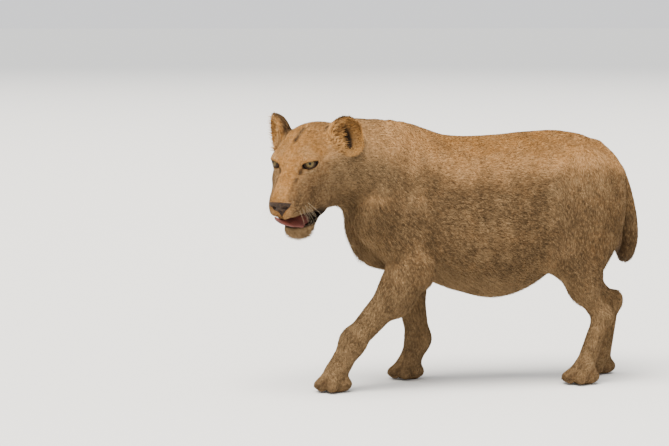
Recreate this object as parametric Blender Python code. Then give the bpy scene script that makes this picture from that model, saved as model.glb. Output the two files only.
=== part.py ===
"""A life-size lioness in mid-stride, head turned to her left, mouth a little open.

Metres, +Z up. She faces -X, her left side is towards -Y, and the soles of her feet lie at Z = 0.
The body is a sum of named masses, each a distance function, blended where flesh blends.
It is netted as one skin, thinned, and then parted with thin cuts into the pieces that a person would name.
"""

import math

import bmesh
import bpy
import numpy as np
from mathutils import Vector

# ---------------------------------------------------------------- driving dimensions (metres)
CUT = 0.0007  # width of the thin cuts that part the body
CELL = 0.009  # size of the net's cells over the body
HEAD_CELL = 0.0048
HEAD_SCALE = 1.16  # the head's own measures below are in centimetres at scale 1
LEFT, RIGHT = -1, 1  # the side of Y that a limb is on

# Trunk: place along the body, height of the back, height of the underside, half width
TRUNK = (
    (-0.375, 0.660, 0.470, 0.070),
    (-0.330, 0.760, 0.395, 0.116),
    (-0.260, 0.800, 0.350, 0.142),
    (-0.150, 0.790, 0.325, 0.152),
    (-0.050, 0.776, 0.290, 0.170),
    (0.070, 0.778, 0.267, 0.182),
    (0.180, 0.788, 0.300, 0.160),
    (0.290, 0.789, 0.385, 0.134),
    (0.390, 0.757, 0.480, 0.120),
    (0.455, 0.690, 0.560, 0.075),
)
TRUNK_ENDS = (-0.390, 0.456)
SPINE_NARROWS = 0.24  # how much narrower the trunk is along the back than along the belly

# The neck and tail as lines of rings: centre, radius
NECK = (((-0.245, 0.000, 0.652), 0.143), ((-0.370, -0.026, 0.690), 0.128), ((-0.480, -0.085, 0.700), 0.119))
TAIL = (
    ((0.400, 0.000, 0.716), 0.040),
    ((0.444, 0.000, 0.683), 0.034),
    ((0.479, 0.000, 0.630), 0.031),
    ((0.502, 0.000, 0.565), 0.029),
    ((0.516, 0.000, 0.500), 0.028),
    ((0.521, 0.004, 0.445), 0.027),
    ((0.522, 0.030, 0.405), 0.026),
    ((0.531, 0.085, 0.382), 0.024),
    ((0.549, 0.160, 0.381), 0.022),
    ((0.568, 0.230, 0.392), 0.025),
    ((0.586, 0.290, 0.410), 0.030),
    ((0.603, 0.345, 0.434), 0.024),
    ((0.614, 0.380, 0.452), 0.010),
)

# Limbs: joints from the top down, as (x, y without its side, z)
FORE_LEFT = {
    "blade": (-0.245, 0.062, 0.775), "shoulder": (-0.318, 0.112, 0.530), "elbow": (-0.212, 0.142, 0.368),
    "wrist": (-0.402, 0.122, 0.152), "knuckle": (-0.452, 0.122, 0.062), "toes": (-0.492, 0.122, 0.030),
}
FORE_RIGHT = {
    "blade": (-0.250, 0.062, 0.775), "shoulder": (-0.300, 0.112, 0.545), "elbow": (-0.180, 0.138, 0.385),
    "wrist": (-0.140, 0.112, 0.128), "knuckle": (-0.168, 0.112, 0.052), "toes": (-0.208, 0.112, 0.030),
}
HIND_LEFT = {
    "hip": (0.375, 0.085, 0.640), "knee": (0.272, 0.125, 0.395), "hock": (0.392, 0.108, 0.205),
    "knuckle": (0.338, 0.112, 0.052), "toes": (0.292, 0.112, 0.030),
}
HIND_RIGHT = {
    "hip": (0.380, 0.085, 0.640), "knee": (0.330, 0.125, 0.385), "hock": (0.492, 0.105, 0.228),
    "knuckle": (0.462, 0.108, 0.054), "toes": (0.418, 0.108, 0.030),
}

# The head's place and turn: the point midway between the eyes, then degrees
EYES_MID = (-0.599, -0.200, 0.704)
HEAD_YAW, HEAD_PITCH, HEAD_ROLL = 52.5, 26.3, 1.0
EYE = (-0.05, 4.45, 0.15)  # centre of an eyeball in the head's centimetres: forward, left, up
EYE_RADIUS = 1.75
CM = 0.01 * HEAD_SCALE

# The head's masses, in its centimetres forward, left and up of the point between the eyes: what each is,
# whether it is on both sides, its kind, its measures (centre and radii, or both ends and their radii), and
# how far it blends
HEAD_MASSES = (
    ("forehead", False, "ball", ((-2.4, 0, -0.4), (5.6, 5.2, 3.3)), 2.5),
    ("jaw muscle", True, "ball", ((-8.3, 5.2, -5.6), (6.0, 4.0, 5.8)), 2.5),
    ("cheekbone", True, "ball", ((-2.0, 3.9, -4.4), (5.0, 2.9, 4.6)), 2.2),
    ("brow", True, "ball", ((-1.6, 3.8, 1.0), (2.7, 2.7, 1.7)), 2.0),
    ("bridge", False, "bone", ((0.5, 0, -1.4), (10.3, 0, -5.2), 2.8, 2.25, 1.28), 1.8),
    ("side of the muzzle", True, "bone", ((1.2, 3.0, -5.2), (8.0, 1.8, -6.8), 3.0, 2.6), 2.4),
    ("upper jaw", True, "ball", ((3.2, 3.0, -8.4), (4.4, 2.5, 3.2)), 2.0),
    ("whisker pad", True, "ball", ((7.7, 2.15, -8.0), (4.5, 2.5, 2.7)), 1.0),
    ("upper lip", True, "bone", ((7.0, 2.5, -8.4), (0.5, 4.4, -11.6), 2.2, 2.6), 1.5),
    ("corner of the mouth", True, "ball", ((-0.8, 4.2, -10.7), (4.2, 2.5, 3.5)), 2.4),
    ("cheek ruff", True, "ball", ((-6.6, 4.4, -9.9), (5.4, 3.8, 5.4)), 2.5),
)
SKULL = ((-8.2, 0, -1.9), (8.6, 7.4, 7.1))
NOSE_MASSES = (
    ("nose leather", False, "ball", ((11.1, 0, -6.0), (1.6, 3.1, 1.75)), 0.5),
    ("middle of the lip", False, "ball", ((10.5, 0, -9.4), (1.7, 1.9, 1.7)), 0.6),
)
NOSTRIL = ((12.7, 1.75, -6.1), (1.2, 0.95, 0.5))
LIP_GROOVE = ((12.9, 0, -9.0), (1.1, 0.22, 2.2))
EYE_HOLLOW = ((2.8, -1.6, -0.3), (1.0, 2.2, 1.2))  # about the eyeball: facing, out, up
LIDS_FACE, LIDS_UP = (0.86, 0.48, -0.06), (0.02, 0.00, 1.0)
LIDS = ((0.0, 0.0, 0.0), (2.05, 2.15, 2.0))
LID_GAP = ((2.3, -0.05, -0.10), (2.1, 2.2, 1.08))
JAW_SIDE = ((-5.5, 4.1, -9.6), (6.0, 1.7, -15.9), 2.8, 2.1)
JAW_TURNS = 0.7  # how far to the left the chin is drawn
JAW_MASSES = (
    ("chin", False, "ball", ((6.7, 0, -15.9), (2.6, 2.6, 2.3)), 1.4),
    ("under the jaw", False, "bone", ((5.4, 0, -15.7), (-4.0, 0.3, -13.8), 2.2, 3.0), 1.5),
    ("floor of the mouth", False, "ball", ((0.0, 0, -14.2), (6.2, 3.6, 3.3)), 1.5),
    ("throat", False, "ball", ((-8.0, 0.8, -11.2), (6.4, 5.8, 5.0)), 2.2),
)
MOUTH = ((6.3, 0, -12.75), (7.4, 7.6, 1.75))
MOUTH_TILT = -15.0

# The ears, about the middle of each, and which way each faces
EAR_MID = (-12.0, 9.8, 1.9)
EAR_FACES = {LEFT: (0.80, 0.62, 0.10), RIGHT: (0.66, 0.75, 0.10)}
EAR_UP = (-0.22, 0.12, 1.0)
EAR_SHELL = ((0.0, 0.0, 0.0), (3.7, 4.8, 5.3))
EAR_CUP = ((0.95, 0.0, 0.1), (3.6, 4.05, 4.5))
EAR_FRONT, EAR_LEAN = 1.3, 0.10  # where the ear's rim lies, and how far it leans back upwards
EAR_ROOT = ((-2.2, -3.4, -3.2), (3.0, 3.0, 3.4))

TONGUE = (  # forward, left, up, half width, half thickness
    (0.0, 0.6, -13.3, 1.4, 1.60), (4.5, 1.3, -13.6, 2.0, 1.50), (8.2, 1.2, -12.8, 2.2, 0.80),
    (10.9, 0.5, -11.4, 1.9, 0.58), (12.7, -0.3, -10.2, 1.4, 0.48), (13.1, -0.8, -9.2, 0.9, 0.40),
)
TONGUE_LEANS = 0.56  # its left edge hangs lower than its right one
TONGUE_GAP = 0.0020  # between tongue and mouth, in metres
BREAST = ((-0.322, 0, 0.475), (0.064, 0.086, 0.092))
SEAT = (0.428, 0.060, 0.640)
TOES = ((-0.0430, -0.022), (-0.0152, 0.004), (0.0152, 0.004), (0.0430, -0.022))  # how far across and ahead
TOE_ROOT, TOE_TIP = 0.0215, 0.0188  # radii

# ---------------------------------------------------------------- sizes of the nets and cuts
INNER_SIDE = 0.012  # how near the middle a leg's regions come
LOW_CUT_REACH, HIGH_CUT_REACH = 0.085, 0.100  # half widths of the cuts below and above a lower leg
EAR_REGION = (4.3, 5.3, 5.8)  # radii of the regions that part the ears and the nose, in centimetres
NOSE_REGION = (1.9, 2.75, 2.35)
GROUND = ((-1, -0.2), (1, -0.2), (1, 0), (-1, 0))
HEAD_LOW, HEAD_HIGH = (-0.71, -0.40, 0.43), (-0.34, 0.10, 0.90)
BODY_LOW, BODY_HIGH = (-0.60, -0.32, -0.030), (0.66, 0.42, 0.90)
TONGUE_LOW, TONGUE_HIGH = (-0.72, -0.42, 0.44), (-0.50, -0.10, 0.64)
NAPE = (-13.5, 0.0, 0.0)  # a point of the cut between head and neck, and the way that cut faces
NAPE_FACES = (0.905, -0.214, 0.247)
HEAD_ZONE = ((0, -22, -24), (36, 22, 20))
OVERLAP = 4.0  # how far each of the two nets runs on past that cut, in the same centimetres
HEAD_TRIANGLES = 2050  # of each net before it is parted
BODY_TRIANGLES = 2800
TONGUE_TRIANGLES = 320
FORE_UPPER = (  # outline of the upper foreleg: x, z, inner y
    (-0.110, 0.420, 0.075), (-0.130, 0.560, 0.075), (-0.215, 0.660, 0.075), (-0.330, 0.660, 0.075),
    (-0.405, 0.560, 0.075), (-0.400, 0.420, 0.075),
)
HIND_UPPER = (
    (0.210, 0.480, 0.028), (0.225, 0.650, 0.068), (0.330, 0.735, 0.088), (0.435, 0.705, 0.081),
    (0.510, 0.620, 0.061), (0.510, 0.480, 0.028), (0.300, 0.380, 0.005),
)
TAIL_BASE = (  # outline of the tail's first part in (x, z)
    (0.415, 0.672), (0.470, 0.722), (0.600, 0.660), (0.600, 0.450 + CUT), (0.488, 0.450 + CUT),
    (0.448, 0.590),
)
TAIL_MIDDLE = ((0.490, -0.09, 0.335), (0.70, 0.17 - CUT, 0.450))  # low and high corners
TAIL_TIP = ((0.46, 0.17, 0.30), (0.72, 0.50, 0.52))
JAW_REGION = ((-1.2, -9.0, -7.5), (12.5, 9.0, 0.0))
NOSE_MIDDLE = (12.2, 0.0, -6.5)
MOUTH_CORNERS = (-0.9, 0.0, -14.7)
NECK_SIDE = ((-0.236, 0.900), (-0.390, 0.545), (-0.800, 0.480), (-0.800, 0.900))  # its outline in (x, z)

# ---------------------------------------------------------------- colours
GOLD = (0.46, 0.27, 0.12)
SANDY = (0.36, 0.22, 0.10)
GREY_GOLD = (0.27, 0.16, 0.075)
DUSK = (0.17, 0.10, 0.04)
PALE = (0.45, 0.33, 0.20)
COLOURS = {
    "head": GOLD, "jaw": PALE, "neck": SANDY, "trunk": SANDY, "nose": (0.060, 0.030, 0.015),
    "tongue": (0.33, 0.10, 0.09), "eye_left": (0.16, 0.11, 0.05), "eye_right": (0.16, 0.11, 0.05),
    "ear_left": GOLD, "ear_right": GOLD, "tail_base": SANDY, "tail_middle": GREY_GOLD, "tail_tip": DUSK,
}


# ---------------------------------------------------------------- distance functions
def blend(a, b, reach):
    """The union of two masses, rounded over within reach of where they meet."""
    share = np.clip(0.5 + 0.5 * (b - a) / reach, 0, 1)
    return b + (a - b) * share - reach * share * (1 - share)


def carve(a, b, reach):
    """a with b taken away, its rim rounded over within reach."""
    return -blend(-a, b, reach)


def ellipsoid(p, centre, radii, turn=None):
    q = p - np.array(centre)
    if turn is not None:
        q = q @ turn
    radii = np.array(radii)
    near = np.linalg.norm(q / radii, axis=1)
    steep = np.linalg.norm(q / radii**2, axis=1)
    return near * (near - 1) / np.maximum(steep, 1e-6)


def bone(p, a, b, radius_a, radius_b, widen=1.0):
    """A round tapered mass from a to b, widened across the body by a factor."""
    a, b = np.array(a, float), np.array(b, float)
    along = b - a
    q = p - a
    t = np.clip(q @ along / (along @ along), 0, 1)
    off = q - t[:, None] * along
    if widen != 1.0:
        off[:, 1] /= widen
    return np.linalg.norm(off, axis=1) - (radius_a + (radius_b - radius_a) * t)


def eased(rings, steps):
    """The same line of rings with more of them, on a smooth curve through the first ones."""
    rows = np.array([(*centre, radius) for centre, radius in rings])
    places = np.arange(len(rows), dtype=float)
    fine = np.linspace(0, len(rows) - 1, (len(rows) - 1) * steps + 1)
    columns = [smooth_line(fine, places, rows[:, i]) for i in range(4)]
    return [((x, y, z), radius) for x, y, z, radius in zip(*columns)]


def chain(p, rings, reach):
    made = None
    for (a, radius_a), (b, radius_b) in zip(rings, rings[1:]):
        piece = bone(p, a, b, radius_a, radius_b)
        made = piece if made is None else blend(made, piece, reach)
    return made


def turned(yaw=0.0, pitch=0.0, roll=0.0):
    """Columns forward, left and up of a thing that faces -X, turned to its left, nose down and leaning."""
    yaw, pitch, roll = (math.radians(x) for x in (yaw, pitch, roll))
    level = np.array((-math.cos(yaw), -math.sin(yaw), 0.0))
    left = np.array((math.sin(yaw), -math.cos(yaw), 0.0))
    forward = level * math.cos(pitch) - np.array((0, 0, math.sin(pitch)))
    up = np.cross(forward, left)
    leaned = left * math.cos(roll) - up * math.sin(roll)
    return np.stack((forward, leaned, np.cross(forward, leaned)), axis=1)


HEAD_TURN = turned(HEAD_YAW, HEAD_PITCH, HEAD_ROLL)


def side_of(point, side):
    return (point[0], point[1] * side, point[2])


def smooth_line(x, places, values):
    """A smooth curve through a few values, by cubic steps with slopes from their neighbours."""
    places, values = np.array(places), np.array(values)
    slopes = np.gradient(values, places)
    i = np.clip(np.searchsorted(places, x) - 1, 0, len(places) - 2)
    wide = places[i + 1] - places[i]
    t = np.clip((x - places[i]) / wide, 0, 1)
    rise = values[i + 1] - values[i]
    first, last = slopes[i] * wide, slopes[i + 1] * wide
    return values[i] + t * (first + t * (3 * rise - 2 * first - last + t * (first + last - 2 * rise)))


def trunk(p):
    places = [row[0] for row in TRUNK]
    top, bottom, half = (smooth_line(p[:, 0], places, [row[i] for row in TRUNK]) for i in (1, 2, 3))
    tall = (top - bottom) / 2
    up = (p[:, 2] - (top + bottom) / 2) / tall
    half = half * (1 - SPINE_NARROWS * np.clip(up, -1, 1))
    ring = (np.abs(p[:, 1] / half) ** 2.3 + np.abs(up) ** 2.3) ** (1 / 2.3)
    body = (ring - 1) * np.minimum(tall, half)
    ends = np.maximum(TRUNK_ENDS[0] - p[:, 0], p[:, 0] - TRUNK_ENDS[1])
    return -blend(-body, -ends, 0.05)


def paw(p, limb, side, length):
    """A broad foot on the ground: its pad, four toes and the knuckles over them."""
    knuckle, toes = np.array(side_of(limb["knuckle"], side)), np.array(side_of(limb["toes"], side))
    made = ellipsoid(p, (knuckle[0] - 0.002, knuckle[1], 0.025), (0.050, 0.043, 0.030))
    for across, ahead in TOES:
        tip = toes + np.array((-ahead - length, across, -0.009))
        root = knuckle + np.array((-0.004, across * 0.62, 0.004))
        made = blend(made, bone(p, root, tip, TOE_ROOT, TOE_TIP), 0.004)
    return made


def foreleg(p, limb, side):
    names = ("blade", "shoulder", "elbow", "wrist", "knuckle")
    blade, shoulder, elbow, wrist, knuckle = (np.array(side_of(limb[name], side)) for name in names)
    middle = (blade + shoulder) / 2
    made = bone(p, blade, shoulder, 0.044, 0.068, 0.80)
    made = blend(made, ellipsoid(p, middle + np.array((0.045, 0, 0.0)), (0.085, 0.046, 0.135)), 0.05)
    made = blend(made, bone(p, shoulder, elbow, 0.078, 0.060, 0.82), 0.04)
    triceps = (shoulder + elbow) / 2 + np.array((0.052, 0.0, 0.045))
    made = blend(made, ellipsoid(p, triceps, (0.082, 0.056, 0.112)), 0.03)
    made = blend(made, bone(p, elbow + np.array((0.014, 0, 0.012)), elbow, 0.040, 0.045), 0.02)
    belly = elbow * 0.72 + wrist * 0.28
    made = blend(made, bone(p, elbow, wrist, 0.057, 0.037, 0.92), 0.03)
    made = blend(made, ellipsoid(p, belly, (0.058, 0.050, 0.085)), 0.03)
    made = blend(made, ellipsoid(p, wrist, (0.037, 0.038, 0.046)), 0.025)
    made = blend(made, bone(p, wrist, knuckle, 0.036, 0.036, 1.14), 0.02)
    return blend(made, paw(p, limb, side, 0.006), 0.018)


def hindleg(p, limb, side):
    names = ("hip", "knee", "hock", "knuckle")
    hip, knee, hock, knuckle = (np.array(side_of(limb[name], side)) for name in names)
    haunch = hip * 0.62 + knee * 0.38
    made = ellipsoid(p, haunch + np.array((0.008, 0, 0.0)), (0.125, 0.070, 0.185))
    made = blend(made, bone(p, haunch, knee, 0.100, 0.062, 0.66), 0.04)
    calf = knee * 0.55 + hock * 0.45
    hamstring = calf + np.array((0.028, -0.008 * side, 0.020))
    made = blend(made, bone(p, side_of(SEAT, side), hamstring, 0.056, 0.034, 0.85), 0.045)
    made = blend(made, bone(p, knee, hock, 0.052, 0.028, 0.86), 0.035)
    made = blend(made, ellipsoid(p, calf + np.array((0.0, 0, 0.012)), (0.050, 0.038, 0.068)), 0.03)
    heel = hock + np.array((0.014, 0, 0.010))
    made = blend(made, ellipsoid(p, heel, (0.027, 0.024, 0.034)), 0.022)
    made = blend(made, bone(p, hock, knuckle, 0.029, 0.031, 1.05), 0.02)
    return blend(made, paw(p, limb, side, 0.002), 0.018)


def head_places(p):
    """Points of the frame in the head's own centimetres: forward, left, up from midway between the eyes."""
    return (p - np.array(EYES_MID)) @ HEAD_TURN / CM


def aimed(facing, up):
    """Columns facing, out and up of something small on the head, the up made square to the facing."""
    facing, up = np.array(facing, float), np.array(up, float)
    facing /= np.linalg.norm(facing)
    up -= facing * (facing @ up)
    up /= np.linalg.norm(up)
    return np.stack((facing, np.cross(up, facing), up), axis=1)


LID_TURN = aimed(LIDS_FACE, LIDS_UP)


def ear(q, side):
    """A round cupped ear, open forwards and outwards."""
    q = np.column_stack((q[:, 0], -side * q[:, 1], q[:, 2]))
    r = (q - np.array(EAR_MID)) @ aimed(EAR_FACES[side], EAR_UP)
    shell = ellipsoid(r, *EAR_SHELL)
    made = carve(shell, ellipsoid(r, *EAR_CUP), 0.3)
    made = carve(made, -(r[:, 0] - EAR_FRONT + EAR_LEAN * r[:, 2]), 0.5)
    return blend(made, ellipsoid(r, *EAR_ROOT), 1.2)


MASS_KINDS = {"ball": ellipsoid, "bone": bone}
NAPE_TURN = aimed(NAPE_FACES, (0.0, 0.0, 1.0))


def add_masses(made, masses, q, mirror):
    """Blends a table's masses onto what there is, those of both sides by their mirror image."""
    for _, both_sides, kind, measures, reach in masses:
        made = blend(made, MASS_KINDS[kind](mirror if both_sides else q, *measures), reach)
    return made


def upper_head(q):
    """The head in its own centimetres, without ears and lower jaw."""
    mirror = np.column_stack((q[:, 0], np.abs(q[:, 1]), q[:, 2]))
    made = add_masses(ellipsoid(q, *SKULL), HEAD_MASSES, q, mirror)
    return eyelids(muzzle_front(made, q, mirror), mirror)


def muzzle_front(made, q, mirror):
    """The nose leather's swelling, its nostrils, and the groove down to the lip."""
    made = add_masses(made, NOSE_MASSES, q, mirror)
    made = carve(made, ellipsoid(mirror, *NOSTRIL, tilted(-20.0)), 0.3)
    return carve(made, ellipsoid(q, *LIP_GROOVE), 0.35)


def eyelids(made, mirror):
    """A shallow hollow round the eye, lids that swell over the ball, and the slanting gap between them."""
    r = (mirror - np.array(EYE)) @ LID_TURN
    made = carve(made, ellipsoid(r, *EYE_HOLLOW), 1.2)
    made = blend(made, ellipsoid(r, *LIDS), 0.9)
    return carve(made, ellipsoid(r, *LID_GAP), 0.25)


def lower_jaw(q):
    q = q - np.array((0.0, JAW_TURNS, 0.0)) * np.clip((q[:, :1] + 6) / 12, 0, 1)
    mirror = np.column_stack((q[:, 0], np.abs(q[:, 1]), q[:, 2]))
    return add_masses(bone(mirror, *JAW_SIDE), JAW_MASSES, q, mirror)


def mouth(q):
    """The gap between the jaws: open at the front, closed at the corners of the mouth."""
    return ellipsoid(q, *MOUTH, tilted(MOUTH_TILT))


def tilted(degrees):
    """A turn about the head's left axis, as columns."""
    c, s = math.cos(math.radians(degrees)), math.sin(math.radians(degrees))
    return np.array(((c, 0, s), (0, 1, 0), (-s, 0, c)))


def tongue(p):
    """A flat tongue that comes out over the lower lip and curls up against the upper one."""
    q = head_places(p)
    best = np.full(len(q), 9.0)
    for a, b in zip(TONGUE, TONGUE[1:]):
        a, b = np.array(a), np.array(b)
        way = (b - a)[[0, 2]]
        level = q[:, [0, 2]] + np.outer(TONGUE_LEANS * (q[:, 1] - a[1]), (0, 1))
        t = np.clip((level - a[[0, 2]]) @ way / (way @ way), 0, 1)
        at = a + t[:, None] * (b - a)
        lift = q[:, 2] + TONGUE_LEANS * (q[:, 1] - at[:, 1])
        off = np.hypot(q[:, 0] - at[:, 0], lift - at[:, 2])
        ring = np.hypot((q[:, 1] - at[:, 1]) / at[:, 3], off / at[:, 4])
        best = blend(best, (ring - 1) * at[:, 4], 0.15)
    return np.maximum(best * CM, TONGUE_GAP - head(p))


def head(p, ears=True):
    q = head_places(p)
    made = blend(upper_head(q), lower_jaw(q), 1.2)
    made = carve(made, mouth(q), 0.5)
    if ears:
        for side in (LEFT, RIGHT):
            made = blend(made, ear(q, side), 1.0)
    return made * CM


# Each limb with the box that holds it, as far points aren't worked out, and how far its joint is rounded over
LIMBS = (
    (lambda p: foreleg(p, FORE_LEFT, LEFT), (-0.64, -0.32, -0.05), (0.0, 0.05, 0.92), 0.020),
    (lambda p: foreleg(p, FORE_RIGHT, RIGHT), (-0.46, -0.05, -0.05), (0.02, 0.32, 0.92), 0.020),
    (lambda p: hindleg(p, HIND_LEFT, LEFT), (0.10, -0.32, -0.05), (0.62, 0.05, 0.92), 0.042),
    (lambda p: hindleg(p, HIND_RIGHT, RIGHT), (0.10, -0.05, -0.05), (0.66, 0.32, 0.92), 0.042),
    (lambda p: chain(p, eased(TAIL, 5), 0.0008), (0.36, -0.12, 0.28), (0.72, 0.50, 0.84), 0.022),
)
HEAD_BOX = ((-0.95, -0.55, 0.38), (-0.35, 0.12, 0.98))


def lioness(p, ears=True):
    made = blend(trunk(p), chain(p, NECK, 0.05), 0.06)
    made = blend(made, ellipsoid(p, *BREAST), 0.05)
    for mass, low, high, reach in LIMBS:
        near = np.all((p > low) & (p < high), axis=1)
        made[near] = blend(made[near], mass(p[near]), reach)
    near = np.all((p > HEAD_BOX[0]) & (p < HEAD_BOX[1]), axis=1)
    made[near] = blend(made[near], head(p[near], ears), 0.05)
    return made


# ---------------------------------------------------------------- the net
def grid_values(shape, low, high, cell):
    """The distances over a box of cells, worked out slice by slice, and only near the surface."""
    counts = [int(math.ceil((b - a) / cell)) + 1 for a, b in zip(low, high)]
    axes = [a + cell * np.arange(n) for a, n in zip(low, counts)]
    values = np.empty(counts, np.float32)
    y, z = np.meshgrid(axes[1], axes[2], indexing="ij")
    for i, x in enumerate(axes[0]):
        p = np.column_stack((np.full(y.size, x), y.ravel(), z.ravel()))
        values[i] = shape(p).reshape(y.shape)
    for axis in range(3):
        rim = [slice(None)] * 3
        rim[axis] = [0, -1]
        values[tuple(rim)] = cell
    return values, axes


# A cell's eight corners are numbered by their bits (x, y, z), and six tetrahedra round a diagonal fill it
TETRAHEDRA = ((0, 1, 3, 7), (0, 3, 2, 7), (0, 2, 6, 7), (0, 6, 4, 7), (0, 4, 5, 7), (0, 5, 1, 7))


def net(values, axes):
    """Corners and triangles over the zero surface, which is closed where the grid's rim is all outside."""
    shape = values.shape
    inside = values < 0
    some = np.zeros([n - 1 for n in shape], bool)
    every = np.ones_like(some)
    for n in range(8):
        part = inside[tuple(slice(n >> k & 1, shape[k] - 1 + (n >> k & 1)) for k in range(3))]
        some |= part
        every &= part
    cells = np.argwhere(some & ~every)
    offsets = np.array([[n >> k & 1 for k in range(3)] for n in range(8)])
    nodes = np.stack([np.ravel_multi_index((cells + step).T, shape) for step in offsets], axis=1)
    flat = values.ravel()
    triangles = []
    for four in TETRAHEDRA:
        own = nodes[:, four]
        within = flat[own] < 0
        own = np.take_along_axis(own, np.argsort(~within, axis=1, kind="stable"), axis=1)
        count = within.sum(axis=1)
        for number, faces in CUTS.items():
            some_own = own[count == number]
            for face in faces:
                triangles.append(np.stack([some_own[:, pair] for pair in face], axis=1))
    edges = np.sort(np.concatenate(triangles), axis=2)
    keys = edges[:, :, 0].astype(np.int64) * flat.size + edges[:, :, 1]
    unique, faces = np.unique(keys, return_inverse=True)
    faces = faces.reshape(-1, 3)
    first, second = unique // flat.size, unique % flat.size
    start = np.array([axis[0] for axis in axes])
    cell = axes[0][1] - axes[0][0]
    a, b = (start + cell * np.stack(np.unravel_index(ends, shape), axis=1) for ends in (first, second))
    share = np.clip(flat[first] / (flat[first] - flat[second]), 0.03, 0.97)[:, None]
    return a + share * (b - a), outward(a + share * (b - a), faces, a, b, flat[first] < 0)


def outward(corners, faces, a, b, first_inside):
    """The triangles turned so that each faces the outside ends of the grid edges that it crosses."""
    way = np.where(first_inside[:, None], b - a, a - b)
    p, q, r = (corners[faces[:, i]] for i in range(3))
    wrong = (np.cross(q - p, r - p) * way[faces].sum(axis=1)).sum(axis=1) < 0
    faces[wrong] = faces[wrong][:, ::-1]
    return faces


# Triangles of a tetrahedron, inside corners first, by how many are inside: each triangle by three edges
CUTS = {
    1: (((0, 1), (0, 2), (0, 3)),),
    2: (((0, 2), (0, 3), (1, 3)), ((0, 2), (1, 3), (1, 2))),
    3: (((0, 3), (1, 3), (2, 3)),),
}


def settle(corners, shape, rounds=4, reach=0.002):
    """Moves corners onto the shape's surface."""
    for _ in range(rounds):
        value = shape(corners)
        slope = np.stack([(shape(corners + step) - value) / 1e-4 for step in np.eye(3) * 1e-4], axis=1)
        size = np.maximum((slope**2).sum(axis=1), 0.05)
        move = (value / size)[:, None] * slope
        far = np.maximum(np.linalg.norm(move, axis=1) / reach, 1)
        corners = corners - move / far[:, None]
    return corners


# ---------------------------------------------------------------- the pieces
def head_point(forward, left, up):
    return np.array(EYES_MID) + HEAD_TURN @ np.array((forward, left, up)) * CM


def clear_file():
    for thing in list(bpy.data.objects):
        bpy.data.objects.remove(thing)


def material(name, colour, roughness=0.85, coat=0.0):
    made = bpy.data.materials.new(name)
    made.use_nodes = True
    shader = made.node_tree.nodes["Principled BSDF"]
    shader.inputs["Base Color"].default_value = (*colour, 1)
    shader.inputs["Roughness"].default_value = roughness
    shader.inputs["Metallic"].default_value = 0.0
    shader.inputs["Coat Weight"].default_value = coat
    made.diffuse_color = (*colour, 1)
    return made


def new_object(name, corners, faces):
    mesh = bpy.data.meshes.new(name)
    mesh.from_pydata([tuple(map(float, c)) for c in corners], [], [tuple(map(int, f)) for f in faces])
    made = bpy.data.objects.new(name, mesh)
    bpy.context.scene.collection.objects.link(made)
    return made


def netted(name, shape, low, high, cell):
    values, axes = grid_values(shape, low, high, cell)
    corners, faces = net(values, axes)
    return new_object(name, settle(corners, shape), faces)


def finished_mesh(thing):
    """The object's mesh with its modifiers applied."""
    graph = bpy.context.evaluated_depsgraph_get()
    graph.update()
    old = thing.data
    thing.data = bpy.data.meshes.new_from_object(thing.evaluated_get(graph))
    thing.modifiers.clear()
    bpy.data.meshes.remove(old)


def thin_out(thing, triangles):
    """Fewer triangles, with the same outline."""
    triangles_now = sum(len(face.vertices) - 2 for face in thing.data.polygons)
    thinner = thing.modifiers.new("thinner", "DECIMATE")
    thinner.ratio = min(1.0, triangles / triangles_now)
    finished_mesh(thing)


def join_by(thing, other, operation):
    """Boolean of the object with another one."""
    cut = thing.modifiers.new("cut", "BOOLEAN")
    cut.operation = operation
    cut.solver = "EXACT"
    cut.object = other
    finished_mesh(thing)


def main_body(thing):
    """Keeps the largest closed body of the object and leaves out crumbs that a cut has shed."""
    work = bmesh.new()
    work.from_mesh(thing.data)
    groups = []
    unseen = set(work.verts)
    while unseen:
        group = {unseen.pop()}
        edge_of_group = list(group)
        while edge_of_group:
            corner = edge_of_group.pop()
            for edge in corner.link_edges:
                other = edge.other_vert(corner)
                if other in unseen:
                    unseen.discard(other)
                    group.add(other)
                    edge_of_group.append(other)
        groups.append(group)
    groups.sort(key=len)
    for group in groups[:-1]:
        bmesh.ops.delete(work, geom=list(group), context="VERTS")
    bmesh.ops.triangulate(work, faces=work.faces)
    work.to_mesh(thing.data)
    work.free()


def grown(region, gap):
    """A copy of a convex region with every face moved out by the gap."""
    mesh = region.data.copy()
    work = bmesh.new()
    work.from_mesh(mesh)
    work.normal_update()
    moves = [(corner, corner.normal * gap * corner.calc_shell_factor()) for corner in work.verts]
    for corner, move in moves:
        corner.co += move
    work.to_mesh(mesh)
    work.free()
    made = bpy.data.objects.new(region.name + "_grown", mesh)
    bpy.context.scene.collection.objects.link(made)
    return made


def split_off(whole, name, region):
    """Parts a named piece from the whole with a thin gap round the region."""
    piece = bpy.data.objects.new(name, whole.data.copy())
    bpy.context.scene.collection.objects.link(piece)
    join_by(piece, region, "INTERSECT")
    main_body(piece)
    wider = grown(region, CUT)
    join_by(whole, wider, "DIFFERENCE")
    for spent in (region, wider):
        bpy.data.objects.remove(spent)
    return piece


def convex(points):
    """A convex region round some points."""
    work = bmesh.new()
    for point in points:
        work.verts.new(point)
    bmesh.ops.convex_hull(work, input=work.verts)
    loose = [corner for corner in work.verts if not corner.link_faces]
    bmesh.ops.delete(work, geom=loose, context="VERTS")
    bmesh.ops.recalc_face_normals(work, faces=work.faces)
    mesh = bpy.data.meshes.new("region")
    work.to_mesh(mesh)
    work.free()
    made = bpy.data.objects.new("region", mesh)
    bpy.context.scene.collection.objects.link(made)
    return made


def slab(outline, y_from, y_to):
    """A region with an outline in (x, z), from one y to another."""
    return convex([(x, y, z) for x, z in outline for y in (y_from, y_to)])


def box_in(place, low, high):
    """A region that is a box in a frame given by a function of three lengths."""
    ends = list(zip(low, high))
    return convex([tuple(place(*(ends[k][n >> k & 1] for k in range(3)))) for n in range(8)])


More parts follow.
